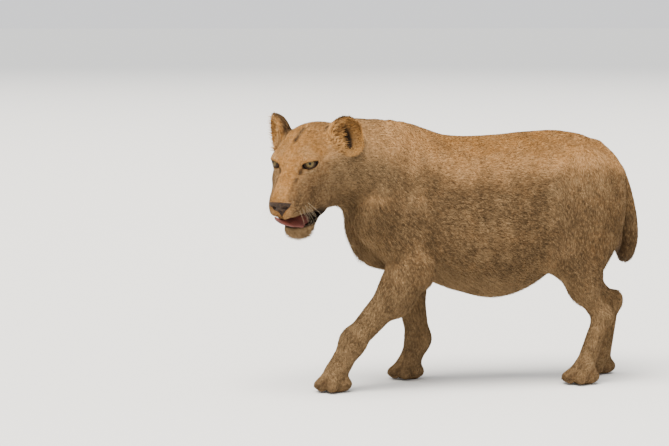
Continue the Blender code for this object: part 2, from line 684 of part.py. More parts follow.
def ball_in(place, radii, rings=7, ring_corners=12):
    """A round region in a frame given by a function of three lengths."""
    points = []
    for i in range(rings + 1):
        angle = math.pi * i / rings
        for j in range(ring_corners):
            turn = 2 * math.pi * j / ring_corners
            way = (math.sin(angle) * math.cos(turn), math.sin(angle) * math.sin(turn), math.cos(angle))
            points.append(tuple(place(*(w * r for w, r in zip(way, radii)))))
            if i in (0, rings):
                break
    return convex(points)


def ear_place(side):
    turn = aimed(EAR_FACES[side], EAR_UP)

    def place(facing, out, up):
        local = np.array(EAR_MID) + turn @ np.array((facing, out, up))
        return head_point(local[0], -side * local[1], local[2])

    return place


def eye_place(side):
    return head_point(EYE[0], -side * EYE[1], EYE[2])


def upright(fore, aft, share, reach):
    """Two points in (x, z) either side of a bone, square to it, at a share of its length."""
    a, b = np.array(fore)[[0, 2]], np.array(aft)[[0, 2]]
    way = (b - a) / np.linalg.norm(b - a)
    middle = a + (b - a) * share
    square = np.array((-way[1], way[0])) * reach
    return [tuple(middle + square), tuple(middle - square)]


def leg_regions(limb, side, bones, shares, upper):
    """The regions of a leg: foot, lower leg, and upper leg by its outline of (x, z, inner y)."""
    low_cut = upright(limb[bones[1]], limb[bones[2]], shares[1], LOW_CUT_REACH)
    high_cut = upright(limb[bones[0]], limb[bones[1]], shares[0], HIGH_CUT_REACH)
    away, inner = 0.40 * side, INNER_SIDE * side
    toes = limb["toes"][0]
    sole = [(toes - 0.10, -0.05), (toes + 0.16, -0.05)]
    foot = slab(low_cut + sole, inner, away)
    lower = slab(low_cut + high_cut, inner, away)
    points = [(x, y * side, z) for x, z, y in upper] + [(x, away, z) for x, z, _ in upper]
    points += [(x, y, z) for x, z in high_cut for y in (upper[-1][2] * side, away)]
    return foot, lower, convex(points)


def legs():
    """Each leg's name with its regions, from the foot up."""
    fore, hind = ("elbow", "wrist", "knuckle"), ("knee", "hock", "knuckle")
    yield "foreleg_left", leg_regions(FORE_LEFT, LEFT, fore, (0.26, 0.20), FORE_UPPER)
    yield "foreleg_right", leg_regions(FORE_RIGHT, RIGHT, fore, (0.26, 0.20), FORE_UPPER)
    yield "hindleg_left", leg_regions(HIND_LEFT, LEFT, hind, (0.30, 0.20), HIND_UPPER)
    yield "hindleg_right", leg_regions(HIND_RIGHT, RIGHT, hind, (0.30, 0.20), HIND_UPPER)


def nape_place(forward, left, up):
    return head_point(*(np.array(NAPE) + NAPE_TURN @ np.array((forward, left, up))))


def nose_place(forward, left, up):
    return head_point(*(np.array(NOSE_MIDDLE) + np.array((forward, left, up))))


def jaw_place(along, left, down):
    """A point by lengths from the mouth's corners: along the jaws' gap, to the left, square to the gap."""
    local = np.array(MOUTH_CORNERS) + tilted(MOUTH_TILT) @ np.array((along, left, down))
    return head_point(*local)


def head_zone(p, inset):
    """How far inside the head's zone a point lies, the zone being made smaller by the inset."""
    r = (head_places(p) - np.array(NAPE)) @ NAPE_TURN
    return np.minimum(r[:, 0] - inset, r[:, 2] - HEAD_ZONE[0][2] - inset) * CM


def make_head():
    """Head, jaw, nose, ears, eyes and tongue, from one fine net."""
    def front(p):
        return np.maximum(lioness(p), -head_zone(p, -OVERLAP))

    whole = netted("head", front, HEAD_LOW, HEAD_HIGH, HEAD_CELL)
    thin_out(whole, HEAD_TRIANGLES)
    parts = [split_off(whole, "nose", ball_in(nose_place, NOSE_REGION))]
    for side, name in ((LEFT, "ear_left"), (RIGHT, "ear_right")):
        parts.append(split_off(whole, name, ball_in(ear_place(side), EAR_REGION)))
    parts.append(split_off(whole, "jaw", box_in(jaw_place, *JAW_REGION)))
    region = box_in(nape_place, *HEAD_ZONE)
    join_by(whole, region, "INTERSECT")
    main_body(whole)
    bpy.data.objects.remove(region)
    for side, name in ((LEFT, "eye_left"), (RIGHT, "eye_right")):
        parts.append(make_eye(whole, name, side))
    licking = netted("tongue", tongue, TONGUE_LOW, TONGUE_HIGH, 0.0028)
    thin_out(licking, TONGUE_TRIANGLES)
    main_body(licking)
    return [whole, *parts, licking]


def make_eye(whole, name, side):
    """An eyeball, and a socket for it in the head that is wider by a hair."""
    ball = ball_at(name, eye_place(side), EYE_RADIUS * CM)
    socket = ball_at("socket", eye_place(side), EYE_RADIUS * CM + CUT)
    join_by(whole, socket, "DIFFERENCE")
    main_body(whole)
    bpy.data.objects.remove(socket)
    return ball


def ball_at(name, centre, radius):
    mesh = bpy.data.meshes.new(name)
    work = bmesh.new()
    bmesh.ops.create_uvsphere(work, u_segments=14, v_segments=8, radius=radius)
    bmesh.ops.translate(work, vec=Vector(centre), verts=work.verts)
    bmesh.ops.triangulate(work, faces=work.faces)
    work.to_mesh(mesh)
    work.free()
    made = bpy.data.objects.new(name, mesh)
    bpy.context.scene.collection.objects.link(made)
    return made


def make_body():
    """Neck, trunk, tail and legs, from one net, parted from the ends inwards."""
    def rear(p):
        return np.maximum(lioness(p, ears=False), head_zone(p, OVERLAP))

    whole = netted("trunk", rear, BODY_LOW, BODY_HIGH, CELL)
    thin_out(whole, BODY_TRIANGLES)
    taken = [box_in(nape_place, *HEAD_ZONE)]
    taken += [ball_in(ear_place(side), EAR_REGION) for side in (LEFT, RIGHT)]
    for region in taken:
        wider = grown(region, CUT)
        join_by(whole, wider, "DIFFERENCE")
        bpy.data.objects.remove(region)
        bpy.data.objects.remove(wider)
    main_body(whole)
    ground = slab(GROUND, -1, 1)
    join_by(whole, ground, "DIFFERENCE")
    bpy.data.objects.remove(ground)
    parts = [
        split_off(whole, "tail_tip", convex_box(*TAIL_TIP)),
        split_off(whole, "tail_middle", convex_box(*TAIL_MIDDLE)),
        split_off(whole, "tail_base", slab(TAIL_BASE, -0.045, 0.045)),
    ]
    for name, regions in legs():
        for place, region in zip(("_paw", "_lower", "_upper"), regions):
            parts.append(split_off(whole, name + place, region))
    parts.append(split_off(whole, "neck", slab(NECK_SIDE, -0.46, 0.30)))
    main_body(whole)
    return [whole, *parts]


def convex_box(low, high):
    return box_in(lambda x, y, z: (x, y, z), low, high)


def finish(part, shift):
    """Moves a part by the shift, shades it and gives it its own material."""
    for corner in part.data.vertices:
        corner.co += shift
    smooth_part(part)
    legs_colour = GREY_GOLD if part.name.endswith("_upper") else SANDY
    colour = COLOURS.get(part.name, legs_colour)
    wet = part.name in ("nose", "tongue", "eye_left", "eye_right")
    roughness = 0.12 if part.name.startswith("eye") else 0.45 if wet else 0.88
    part.data.materials.clear()
    part.data.materials.append(material(part.name, colour, roughness))


def smooth_part(part):
    part.data.shade_smooth()
    part.data.set_sharp_from_angle(angle=math.radians(45))


def main():
    clear_file()
    parts = make_head() + make_body()
    corners = np.array([corner.co[:] for part in parts for corner in part.data.vertices])
    middle = (corners.min(axis=0) + corners.max(axis=0)) / 2
    shift = Vector((-middle[0], -middle[1], 0))
    for part in parts:
        finish(part, shift)


main()
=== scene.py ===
"""A life-size lioness in mid-stride: one skin, a short coat of tufts, her eyes, nose, tongue and whiskers.

Laid out as an add-on. Each operator makes one piece or one group of like pieces.
"""

import math

import bmesh
import bpy
import numpy as np
from bpy.props import FloatProperty, FloatVectorProperty, IntProperty, PointerProperty
from bpy.types import Operator, Panel, PropertyGroup
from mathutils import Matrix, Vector


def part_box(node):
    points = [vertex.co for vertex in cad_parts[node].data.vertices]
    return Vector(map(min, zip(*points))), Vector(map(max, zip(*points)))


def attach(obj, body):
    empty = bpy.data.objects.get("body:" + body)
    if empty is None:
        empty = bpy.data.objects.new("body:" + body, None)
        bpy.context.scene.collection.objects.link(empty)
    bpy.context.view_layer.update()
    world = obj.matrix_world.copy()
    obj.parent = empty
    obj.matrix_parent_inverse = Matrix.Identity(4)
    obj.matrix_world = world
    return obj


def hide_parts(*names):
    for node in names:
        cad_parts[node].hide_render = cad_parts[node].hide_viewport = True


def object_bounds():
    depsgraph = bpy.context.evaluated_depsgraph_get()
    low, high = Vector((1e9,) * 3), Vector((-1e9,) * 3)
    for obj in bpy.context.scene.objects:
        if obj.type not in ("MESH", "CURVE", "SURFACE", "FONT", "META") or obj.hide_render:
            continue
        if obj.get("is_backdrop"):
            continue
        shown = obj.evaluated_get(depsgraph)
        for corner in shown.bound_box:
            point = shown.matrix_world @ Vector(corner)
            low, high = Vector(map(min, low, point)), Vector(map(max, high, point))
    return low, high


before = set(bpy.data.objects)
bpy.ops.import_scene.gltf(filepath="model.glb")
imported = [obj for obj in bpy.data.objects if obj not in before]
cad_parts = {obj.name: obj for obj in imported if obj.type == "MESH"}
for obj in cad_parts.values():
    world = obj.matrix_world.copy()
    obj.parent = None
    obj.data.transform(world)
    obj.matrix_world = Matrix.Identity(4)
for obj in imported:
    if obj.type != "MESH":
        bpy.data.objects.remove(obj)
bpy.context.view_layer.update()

bl_info = {
    "name": "Lioness",
    "version": (1, 0, 0),
    "blender": (4, 5, 0),
    "location": "View3D > Sidebar > Lioness",
    "description": "Builds a still, life-size lioness with her skin, coat and face, and a studio round her",
    "category": "Add Mesh",
}

# ---------------------------------------------------------------- driving dimensions (metres)
BODY_DEPTH, FACE_DEPTH = 0.0035, 0.0012  # how deep the skin lies in the coat
BODY_LOW, BODY_HIGH = (-0.735, -0.42, -0.030), (0.66, 0.42, 0.92)  # the box that the skin is netted in
FINER = ((-15.0, -19.0), (-1.5, -12.0))  # where on the head the net is cut finer: how far ahead, how far up
PART_EASE = 0.018  # over how far one part of the body gives way to the next
PATCH = 0.003  # each tuft's share of its zone's map
NOSE_DEPTH, NOSE_CELL = 0.0004, 0.0013  # how deep the leather lies, and the size of its net
NOSE_LOW, NOSE_HIGH = (-0.72, -0.36, 0.55), (-0.58, -0.24, 0.66)
TONGUE_CELL = 0.0016
TONGUE_LOW, TONGUE_HIGH = (-0.72, -0.42, 0.44), (-0.50, -0.10, 0.64)

# The coat's tufts: long, wide and lifted on the body, then how much more or less elsewhere
COAT_LONG, COAT_WIDE, COAT_LIFT = 0.0130, 0.0016, 0.12
FEET_SHORTER, BELLY_LONGER, CHEST_LONGER, TAIL_LONGER = 0.0070, 0.008, 0.010, 0.018
HEAD_LONG, FACE_LONG, MUZZLE_SHORTER = 0.0120, 0.0062, 0.0022
RUFF_LONGER, BEARD_LONGER = 0.008, 0.010
FACE_NARROWER, FEET_NARROWER, FRINGE_WIDER = 0.0006, 0.0004, 0.0007
CUP_LONG, CUP_LIFT = 0.016, 0.30  # in the ears' hollows
FRINGE_LONG, FRINGE_LIFT, FRINGE_CLOSER = 0.026, 0.28, 2.0  # at the ears' front edge
TUFT_COVER = 0.47  # how much of its length times its width one tuft hides

# The studio: where the lights stand from the middle of her box, the floor's half side, the camera
OVERHEAD_FROM, OVERHEAD_SPREAD = (-0.65, -0.70, 2.4), math.radians(50.0)
FILL_FROM, FILL_SIZE = (-1.2, -4.0, 0.9), (2.5, 2.0)
FLOOR_HALF = 400.0
SENSOR = 36.0  # millimetres
CAMERA_TURN, CAMERA_RISE = math.radians(-12.0), math.radians(4.5)
CAMERA_AWAY = 8.0
VIEW_WIDTH = 2.0906  # how much of a plane through her the view takes in
CAMERA_AIM = (-0.3786, 0.0774, 0.0715)  # from the middle of her box
HEAD_SCALE = 1.16  # the head's own measures below are in centimetres at scale 1
LEFT, RIGHT = -1, 1  # the side of Y that a limb is on
BODY_SQUARENESS = 2.3  # 2 would make the trunk's sections plain ovals
LEG_PARTS, TAIL_PART, HEAD_PART, NECK_PART = slice(1, 5), 5, 6, 7  # the parts by number; the trunk is 0

# Trunk: place along the body, height of the back, height of the underside, half width
TRUNK = (
    (-0.375, 0.660, 0.470, 0.070),
    (-0.330, 0.760, 0.395, 0.116),
    (-0.260, 0.800, 0.350, 0.142),
    (-0.150, 0.790, 0.325, 0.152),
    (-0.050, 0.776, 0.290, 0.170),
    (0.070, 0.778, 0.267, 0.182),
    (0.180, 0.788, 0.300, 0.160),
    (0.290, 0.789, 0.385, 0.134),
    (0.390, 0.757, 0.480, 0.120),
    (0.455, 0.690, 0.560, 0.075),
)
TRUNK_ENDS = (-0.390, 0.456)
SPINE_NARROWS = 0.24  # how much narrower the trunk is along the back than along the belly

# The neck and tail as lines of rings: centre, radius
NECK = (((-0.245, 0.000, 0.652), 0.143), ((-0.370, -0.026, 0.690), 0.128), ((-0.480, -0.085, 0.700), 0.119))
TAIL = (
    ((0.400, 0.000, 0.716), 0.040),
    ((0.444, 0.000, 0.683), 0.034),
    ((0.479, 0.000, 0.630), 0.031),
    ((0.502, 0.000, 0.565), 0.029),
    ((0.516, 0.000, 0.500), 0.028),
    ((0.521, 0.004, 0.445), 0.027),
    ((0.522, 0.030, 0.405), 0.026),
    ((0.531, 0.085, 0.382), 0.024),
    ((0.549, 0.160, 0.381), 0.022),
    ((0.568, 0.230, 0.392), 0.025),
    ((0.586, 0.290, 0.410), 0.030),
    ((0.603, 0.345, 0.434), 0.024),
    ((0.614, 0.380, 0.452), 0.010),
)

# Limbs: joints from the top down, as (x, y without its side, z)
FORE_LEFT = {
    "blade": (-0.245, 0.062, 0.775), "shoulder": (-0.318, 0.112, 0.530), "elbow": (-0.212, 0.142, 0.368),
    "wrist": (-0.402, 0.122, 0.152), "knuckle": (-0.452, 0.122, 0.062), "toes": (-0.492, 0.122, 0.030),
}
FORE_RIGHT = {
    "blade": (-0.250, 0.062, 0.775), "shoulder": (-0.300, 0.112, 0.545), "elbow": (-0.180, 0.138, 0.385),
    "wrist": (-0.140, 0.112, 0.128), "knuckle": (-0.168, 0.112, 0.052), "toes": (-0.208, 0.112, 0.030),
}
HIND_LEFT = {
    "hip": (0.375, 0.085, 0.640), "knee": (0.272, 0.125, 0.395), "hock": (0.392, 0.108, 0.205),
    "knuckle": (0.338, 0.112, 0.052), "toes": (0.292, 0.112, 0.030),
}
HIND_RIGHT = {
    "hip": (0.380, 0.085, 0.640), "knee": (0.330, 0.125, 0.385), "hock": (0.492, 0.105, 0.228),
    "knuckle": (0.462, 0.108, 0.054), "toes": (0.418, 0.108, 0.030),
}
LEGS = ((FORE_LEFT, LEFT), (FORE_RIGHT, RIGHT), (HIND_LEFT, LEFT), (HIND_RIGHT, RIGHT))

# The head's place and turn: the point midway between the eyes, then degrees
EYES_MID = (-0.599, -0.200, 0.704)
HEAD_YAW, HEAD_PITCH, HEAD_ROLL = 52.5, 26.3, 1.0
EYE = (-0.05, 4.45, 0.15)  # centre of an eyeball in the head's centimetres: forward, left, up
EYE_RADIUS = 1.75
EYE_SHOWN = 0.985  # how much of that radius the visible ball has
EYE_BULGE = 0.045  # how far its clear front stands out, as a share of the radius
PUPIL_EDGE, IRIS_EDGE, WHITE_EDGE = (0.19, 0.22), (0.60, 0.72), (0.72, 0.76)  # as angles from the gaze
GAZE = (0.82, 0.478, 0.31)  # the way the left eye looks, in the head's own directions
CM = 0.01 * HEAD_SCALE

# The head's masses, in its centimetres forward, left and up of the point between the eyes: what each is,
# whether it is on both sides, its kind, its measures (centre and radii, or both ends and their radii), and
# how far it blends
HEAD_MASSES = (
    ("forehead", False, "ball", ((-2.4, 0, -0.4), (5.6, 5.2, 3.3)), 2.5),
    ("jaw muscle", True, "ball", ((-8.3, 5.2, -5.6), (6.0, 4.0, 5.8)), 2.5),
    ("cheekbone", True, "ball", ((-2.0, 3.9, -4.4), (5.0, 2.9, 4.6)), 2.2),
    ("brow", True, "ball", ((-1.6, 3.8, 1.0), (2.7, 2.7, 1.7)), 2.0),
    ("bridge", False, "bone", ((0.5, 0, -1.4), (10.3, 0, -5.2), 2.8, 2.25, 1.28), 1.8),
    ("side of the muzzle", True, "bone", ((1.2, 3.0, -5.2), (8.0, 1.8, -6.8), 3.0, 2.6), 2.4),
    ("upper jaw", True, "ball", ((3.2, 3.0, -8.4), (4.4, 2.5, 3.2)), 2.0),
    ("whisker pad", True, "ball", ((7.7, 2.15, -8.0), (4.5, 2.5, 2.7)), 1.0),
    ("upper lip", True, "bone", ((7.0, 2.5, -8.4), (0.5, 4.4, -11.6), 2.2, 2.6), 1.5),
    ("corner of the mouth", True, "ball", ((-0.8, 4.2, -10.7), (4.2, 2.5, 3.5)), 2.4),
    ("cheek ruff", True, "ball", ((-6.6, 4.4, -9.9), (5.4, 3.8, 5.4)), 2.5),
)
SKULL = ((-8.2, 0, -1.9), (8.6, 7.4, 7.1))
NOSE_MASSES = (
    ("nose leather", False, "ball", ((11.1, 0, -6.0), (1.6, 3.1, 1.75)), 0.5),
    ("middle of the lip", False, "ball", ((10.5, 0, -9.4), (1.7, 1.9, 1.7)), 0.6),
)
NOSTRIL = ((12.7, 1.75, -6.1), (1.2, 0.95, 0.5))
LIP_GROOVE = ((12.9, 0, -9.0), (1.1, 0.22, 2.2))
EYE_HOLLOW = ((2.8, -1.6, -0.3), (1.0, 2.2, 1.2))  # about the eyeball: facing, out, up
LIDS_FACE, LIDS_UP = (0.86, 0.48, -0.06), (0.02, 0.00, 1.0)
LIDS = ((0.0, 0.0, 0.0), (2.05, 2.15, 2.0))
LID_GAP = ((2.3, -0.05, -0.10), (2.1, 2.2, 1.08))
JAW_SIDE = ((-5.5, 4.1, -9.6), (6.0, 1.7, -15.9), 2.8, 2.1)
JAW_TURNS = 0.7  # how far to the left the chin is drawn
JAW_MASSES = (
    ("chin", False, "ball", ((6.7, 0, -15.9), (2.6, 2.6, 2.3)), 1.4),
    ("under the jaw", False, "bone", ((5.4, 0, -15.7), (-4.0, 0.3, -13.8), 2.2, 3.0), 1.5),
    ("floor of the mouth", False, "ball", ((0.0, 0, -14.2), (6.2, 3.6, 3.3)), 1.5),
    ("throat", False, "ball", ((-8.0, 0.8, -11.2), (6.4, 5.8, 5.0)), 2.2),
)
MOUTH = ((6.3, 0, -12.75), (7.4, 7.6, 1.75))
MOUTH_TILT = -15.0

# The ears, about the middle of each, and which way each faces
EAR_MID = (-12.0, 9.8, 1.9)
EAR_FACES = {LEFT: (0.80, 0.62, 0.10), RIGHT: (0.66, 0.75, 0.10)}
EAR_UP = (-0.22, 0.12, 1.0)
EAR_SHELL = ((0.0, 0.0, 0.0), (3.7, 4.8, 5.3))
EAR_CUP = ((0.95, 0.0, 0.1), (3.6, 4.05, 4.5))
EAR_FRONT, EAR_LEAN = 1.3, 0.10  # where the ear's rim lies, and how far it leans back upwards
EAR_ROOT = ((-2.2, -3.4, -3.2), (3.0, 3.0, 3.4))
EAR_THICKER = 0.55  # what its wall gains while the net is coarse

# Dark lines of the face, in the head's centimetres: from the eye's inner corner (out and up only), up the
# brow, and before the ear
TEAR_LINE = ((2.9, -0.8), (2.7, -1.9), (2.5, -3.1), (2.8, -4.8))
BROW_LINE = ((-8.5, 0.0, 5.4), (-6.0, -0.2, 5.2), (-3.8, -0.5, 4.1))
EAR_CREASE = ((-7.3, 5.1, 3.0), (-8.2, 7.0, 0.2), (-8.8, 8.5, -2.9))
WHISKER_THICK, WHISKER_BEND = 0.0028, 0.18  # as shares of a whisker's length

TONGUE = (  # forward, left, up, half width, half thickness
    (0.0, 0.6, -13.3, 1.4, 1.60), (4.5, 1.3, -13.6, 2.0, 1.50), (8.2, 1.2, -12.8, 2.2, 0.80),
    (10.9, 0.5, -11.4, 1.9, 0.58), (12.7, -0.3, -10.2, 1.4, 0.48), (13.1, -0.8, -9.2, 0.9, 0.40),
)
TONGUE_LEANS = 0.56  # its left edge hangs lower than its right one
TONGUE_GAP = 0.0009  # between tongue and mouth, in metres
BREAST = ((-0.322, 0, 0.475), (0.064, 0.086, 0.092))
SEAT = (0.428, 0.060, 0.640)
TOES = ((-0.0430, -0.022), (-0.0152, 0.004), (0.0152, 0.004), (0.0430, -0.022))  # how far across and ahead
TOE_ROOT, TOE_TIP = 0.0215, 0.0188  # radii


# ---------------------------------------------------------------- distance functions
def blend(a, b, reach):
    """The union of two masses, rounded over within reach of where they meet."""
    share = np.clip(0.5 + 0.5 * (b - a) / reach, 0, 1)
    return b + (a - b) * share - reach * share * (1 - share)


def carve(a, b, reach):
    """a with b taken away, its rim rounded over within reach."""
    return -blend(-a, b, reach)


def ellipsoid(p, centre, radii, turn=None):
    q = p - np.array(centre)
    if turn is not None:
        q = q @ turn
    radii = np.array(radii)
    near = np.linalg.norm(q / radii, axis=1)
    steep = np.linalg.norm(q / radii**2, axis=1)
    return near * (near - 1) / np.maximum(steep, 1e-6)


def bone(p, a, b, radius_a, radius_b, widen=1.0):
    """A round tapered mass from a to b, widened across the body by a factor."""
    a, b = np.array(a, float), np.array(b, float)
    along = b - a
    q = p - a
    t = np.clip(q @ along / (along @ along), 0, 1)
    off = q - t[:, None] * along
    if widen != 1.0:
        off[:, 1] /= widen
    return np.linalg.norm(off, axis=1) - (radius_a + (radius_b - radius_a) * t)


def eased(rings, steps):
    """The same line of rings with more of them, on a smooth curve through the first ones."""
    rows = np.array([(*centre, radius) for centre, radius in rings])
    places = np.arange(len(rows), dtype=float)
    fine = np.linspace(0, len(rows) - 1, (len(rows) - 1) * steps + 1)
    columns = [smooth_line(fine, places, rows[:, i]) for i in range(4)]
    return [((x, y, z), radius) for x, y, z, radius in zip(*columns)]


def chain(p, rings, reach):
    made = None
    for (a, radius_a), (b, radius_b) in zip(rings, rings[1:]):
        piece = bone(p, a, b, radius_a, radius_b)
        made = piece if made is None else blend(made, piece, reach)
    return made


def turned(yaw=0.0, pitch=0.0, roll=0.0):
    """Columns forward, left and up of a thing that faces -X, turned to its left, nose down and leaning."""
    yaw, pitch, roll = (math.radians(x) for x in (yaw, pitch, roll))
    level = np.array((-math.cos(yaw), -math.sin(yaw), 0.0))
    left = np.array((math.sin(yaw), -math.cos(yaw), 0.0))
    forward = level * math.cos(pitch) - np.array((0, 0, math.sin(pitch)))
    up = np.cross(forward, left)
    leaned = left * math.cos(roll) - up * math.sin(roll)
    return np.stack((forward, leaned, np.cross(forward, leaned)), axis=1)


HEAD_TURN = turned(HEAD_YAW, HEAD_PITCH, HEAD_ROLL)


def side_of(point, side):
    return (point[0], point[1] * side, point[2])


def smooth_line(x, places, values):
    """A smooth curve through a few values, by cubic steps with slopes from their neighbours."""
    places, values = np.array(places), np.array(values)
    slopes = np.gradient(values, places)
    i = np.clip(np.searchsorted(places, x) - 1, 0, len(places) - 2)
    wide = places[i + 1] - places[i]
    t = np.clip((x - places[i]) / wide, 0, 1)
    rise = values[i + 1] - values[i]
    first, last = slopes[i] * wide, slopes[i + 1] * wide
    return values[i] + t * (first + t * (3 * rise - 2 * first - last + t * (first + last - 2 * rise)))


def trunk(p):
    places = [row[0] for row in TRUNK]
    top, bottom, half = (smooth_line(p[:, 0], places, [row[i] for row in TRUNK]) for i in (1, 2, 3))
    tall = (top - bottom) / 2
    up = (p[:, 2] - (top + bottom) / 2) / tall
    half = half * (1 - SPINE_NARROWS * np.clip(up, -1, 1))
    across, power = np.abs(p[:, 1] / half), BODY_SQUARENESS
    ring = (across**power + np.abs(up) ** power) ** (1 / power)
    body = (ring - 1) * np.minimum(tall, half)
    ends = np.maximum(TRUNK_ENDS[0] - p[:, 0], p[:, 0] - TRUNK_ENDS[1])
    return -blend(-body, -ends, 0.05)


def paw(p, limb, side, length):
    """A broad foot on the ground: its pad, four toes and the knuckles over them."""
    knuckle, toes = np.array(side_of(limb["knuckle"], side)), np.array(side_of(limb["toes"], side))
    made = ellipsoid(p, (knuckle[0] - 0.002, knuckle[1], 0.025), (0.050, 0.043, 0.030))
    for across, ahead in TOES:
        tip = toes + np.array((-ahead - length, across, -0.009))
        root = knuckle + np.array((-0.004, across * 0.62, 0.004))
        made = blend(made, bone(p, root, tip, TOE_ROOT, TOE_TIP), 0.004)
    return made


def foreleg(p, limb, side):
    names = ("blade", "shoulder", "elbow", "wrist", "knuckle")
    blade, shoulder, elbow, wrist, knuckle = (np.array(side_of(limb[name], side)) for name in names)
    middle = (blade + shoulder) / 2
    made = bone(p, blade, shoulder, 0.044, 0.068, 0.80)
    made = blend(made, ellipsoid(p, middle + np.array((0.045, 0, 0.0)), (0.085, 0.046, 0.135)), 0.05)
    made = blend(made, bone(p, shoulder, elbow, 0.078, 0.060, 0.82), 0.04)
    triceps = (shoulder + elbow) / 2 + np.array((0.052, 0.0, 0.045))
    made = blend(made, ellipsoid(p, triceps, (0.082, 0.056, 0.112)), 0.03)
    made = blend(made, bone(p, elbow + np.array((0.014, 0, 0.012)), elbow, 0.040, 0.045), 0.02)
    belly = elbow * 0.72 + wrist * 0.28
    made = blend(made, bone(p, elbow, wrist, 0.057, 0.037, 0.92), 0.03)
    made = blend(made, ellipsoid(p, belly, (0.058, 0.050, 0.085)), 0.03)
    made = blend(made, ellipsoid(p, wrist, (0.037, 0.038, 0.046)), 0.025)
    made = blend(made, bone(p, wrist, knuckle, 0.036, 0.036, 1.14), 0.02)
    return blend(made, paw(p, limb, side, 0.006), 0.018)


def hindleg(p, limb, side):
    names = ("hip", "knee", "hock", "knuckle")
    hip, knee, hock, knuckle = (np.array(side_of(limb[name], side)) for name in names)
    haunch = hip * 0.62 + knee * 0.38
    made = ellipsoid(p, haunch + np.array((0.008, 0, 0.0)), (0.125, 0.070, 0.185))
    made = blend(made, bone(p, haunch, knee, 0.100, 0.062, 0.66), 0.04)
    calf = knee * 0.55 + hock * 0.45
    hamstring = calf + np.array((0.028, -0.008 * side, 0.020))
    made = blend(made, bone(p, side_of(SEAT, side), hamstring, 0.056, 0.034, 0.85), 0.045)
    made = blend(made, bone(p, knee, hock, 0.052, 0.028, 0.86), 0.035)
    made = blend(made, ellipsoid(p, calf + np.array((0.0, 0, 0.012)), (0.050, 0.038, 0.068)), 0.03)
    heel = hock + np.array((0.014, 0, 0.010))
    made = blend(made, ellipsoid(p, heel, (0.027, 0.024, 0.034)), 0.022)
    made = blend(made, bone(p, hock, knuckle, 0.029, 0.031, 1.05), 0.02)
    return blend(made, paw(p, limb, side, 0.002), 0.018)


def head_places(p):
    """Points of the frame in the head's own centimetres: forward, left, up from midway between the eyes."""
    return (p - np.array(EYES_MID)) @ HEAD_TURN / CM


def mirrored(q):
    """Places of the head with those of its right side brought over to its left."""
    return np.column_stack((q[:, 0], np.abs(q[:, 1]), q[:, 2]))


def as_left(q, side):
    """Places or ways of one side of the head as if that side were the left one."""
    return np.column_stack((q[:, 0], -side * q[:, 1], q[:, 2]))


def aimed(facing, up):
    """Columns facing, out and up of something small on the head, the up made square to the facing."""
    facing, up = np.array(facing, float), np.array(up, float)
    facing /= np.linalg.norm(facing)
    up -= facing * (facing @ up)
    up /= np.linalg.norm(up)
    return np.stack((facing, np.cross(up, facing), up), axis=1)


LID_TURN = aimed(LIDS_FACE, LIDS_UP)


def ear(q, side, thicker=0.0):
    """A round cupped ear, open forwards and outwards, its wall made thicker by some centimetres."""
    r = (as_left(q, side) - np.array(EAR_MID)) @ aimed(EAR_FACES[side], EAR_UP)
    shell = ellipsoid(r, *EAR_SHELL)
    cup = ellipsoid(r, EAR_CUP[0], np.array(EAR_CUP[1]) - thicker)
    made = carve(shell, cup, 0.3)
    made = carve(made, -(r[:, 0] - EAR_FRONT + EAR_LEAN * r[:, 2]), 0.5)
    return blend(made, ellipsoid(r, *EAR_ROOT), 1.2)


MASS_KINDS = {"ball": ellipsoid, "bone": bone}


def add_masses(made, masses, q, mirror):
    """Blends a table's masses onto what there is, those of both sides by their mirror image."""
    for _, both_sides, kind, measures, reach in masses:
        made = blend(made, MASS_KINDS[kind](mirror if both_sides else q, *measures), reach)
    return made


def upper_head(q):
    """The head in its own centimetres, without ears and lower jaw."""
    mirror = mirrored(q)
    made = add_masses(ellipsoid(q, *SKULL), HEAD_MASSES, q, mirror)
    return eyelids(muzzle_front(made, q, mirror), mirror)


def muzzle_front(made, q, mirror):
    """The nose leather's swelling, its nostrils, and the groove down to the lip."""
    made = add_masses(made, NOSE_MASSES, q, mirror)
    made = carve(made, ellipsoid(mirror, *NOSTRIL, tilted(-20.0)), 0.3)
    return carve(made, ellipsoid(q, *LIP_GROOVE), 0.35)


def eyelids(made, mirror):
    """A shallow hollow round the eye, lids that swell over the ball, and the slanting gap between them."""
    r = (mirror - np.array(EYE)) @ LID_TURN
    made = carve(made, ellipsoid(r, *EYE_HOLLOW), 1.2)
    made = blend(made, ellipsoid(r, *LIDS), 0.9)
    return carve(made, ellipsoid(r, *LID_GAP), 0.25)


def lower_jaw(q):
    q = q - np.array((0.0, JAW_TURNS, 0.0)) * np.clip((q[:, :1] + 6) / 12, 0, 1)
    mirror = mirrored(q)
    return add_masses(bone(mirror, *JAW_SIDE), JAW_MASSES, q, mirror)


def mouth(q):
    """The gap between the jaws: open at the front, closed at the corners of the mouth."""
    return ellipsoid(q, *MOUTH, tilted(MOUTH_TILT))


def tilted(degrees):
    """A turn about the head's left axis, as columns."""
    c, s = math.cos(math.radians(degrees)), math.sin(math.radians(degrees))
    return np.array(((c, 0, s), (0, 1, 0), (-s, 0, c)))


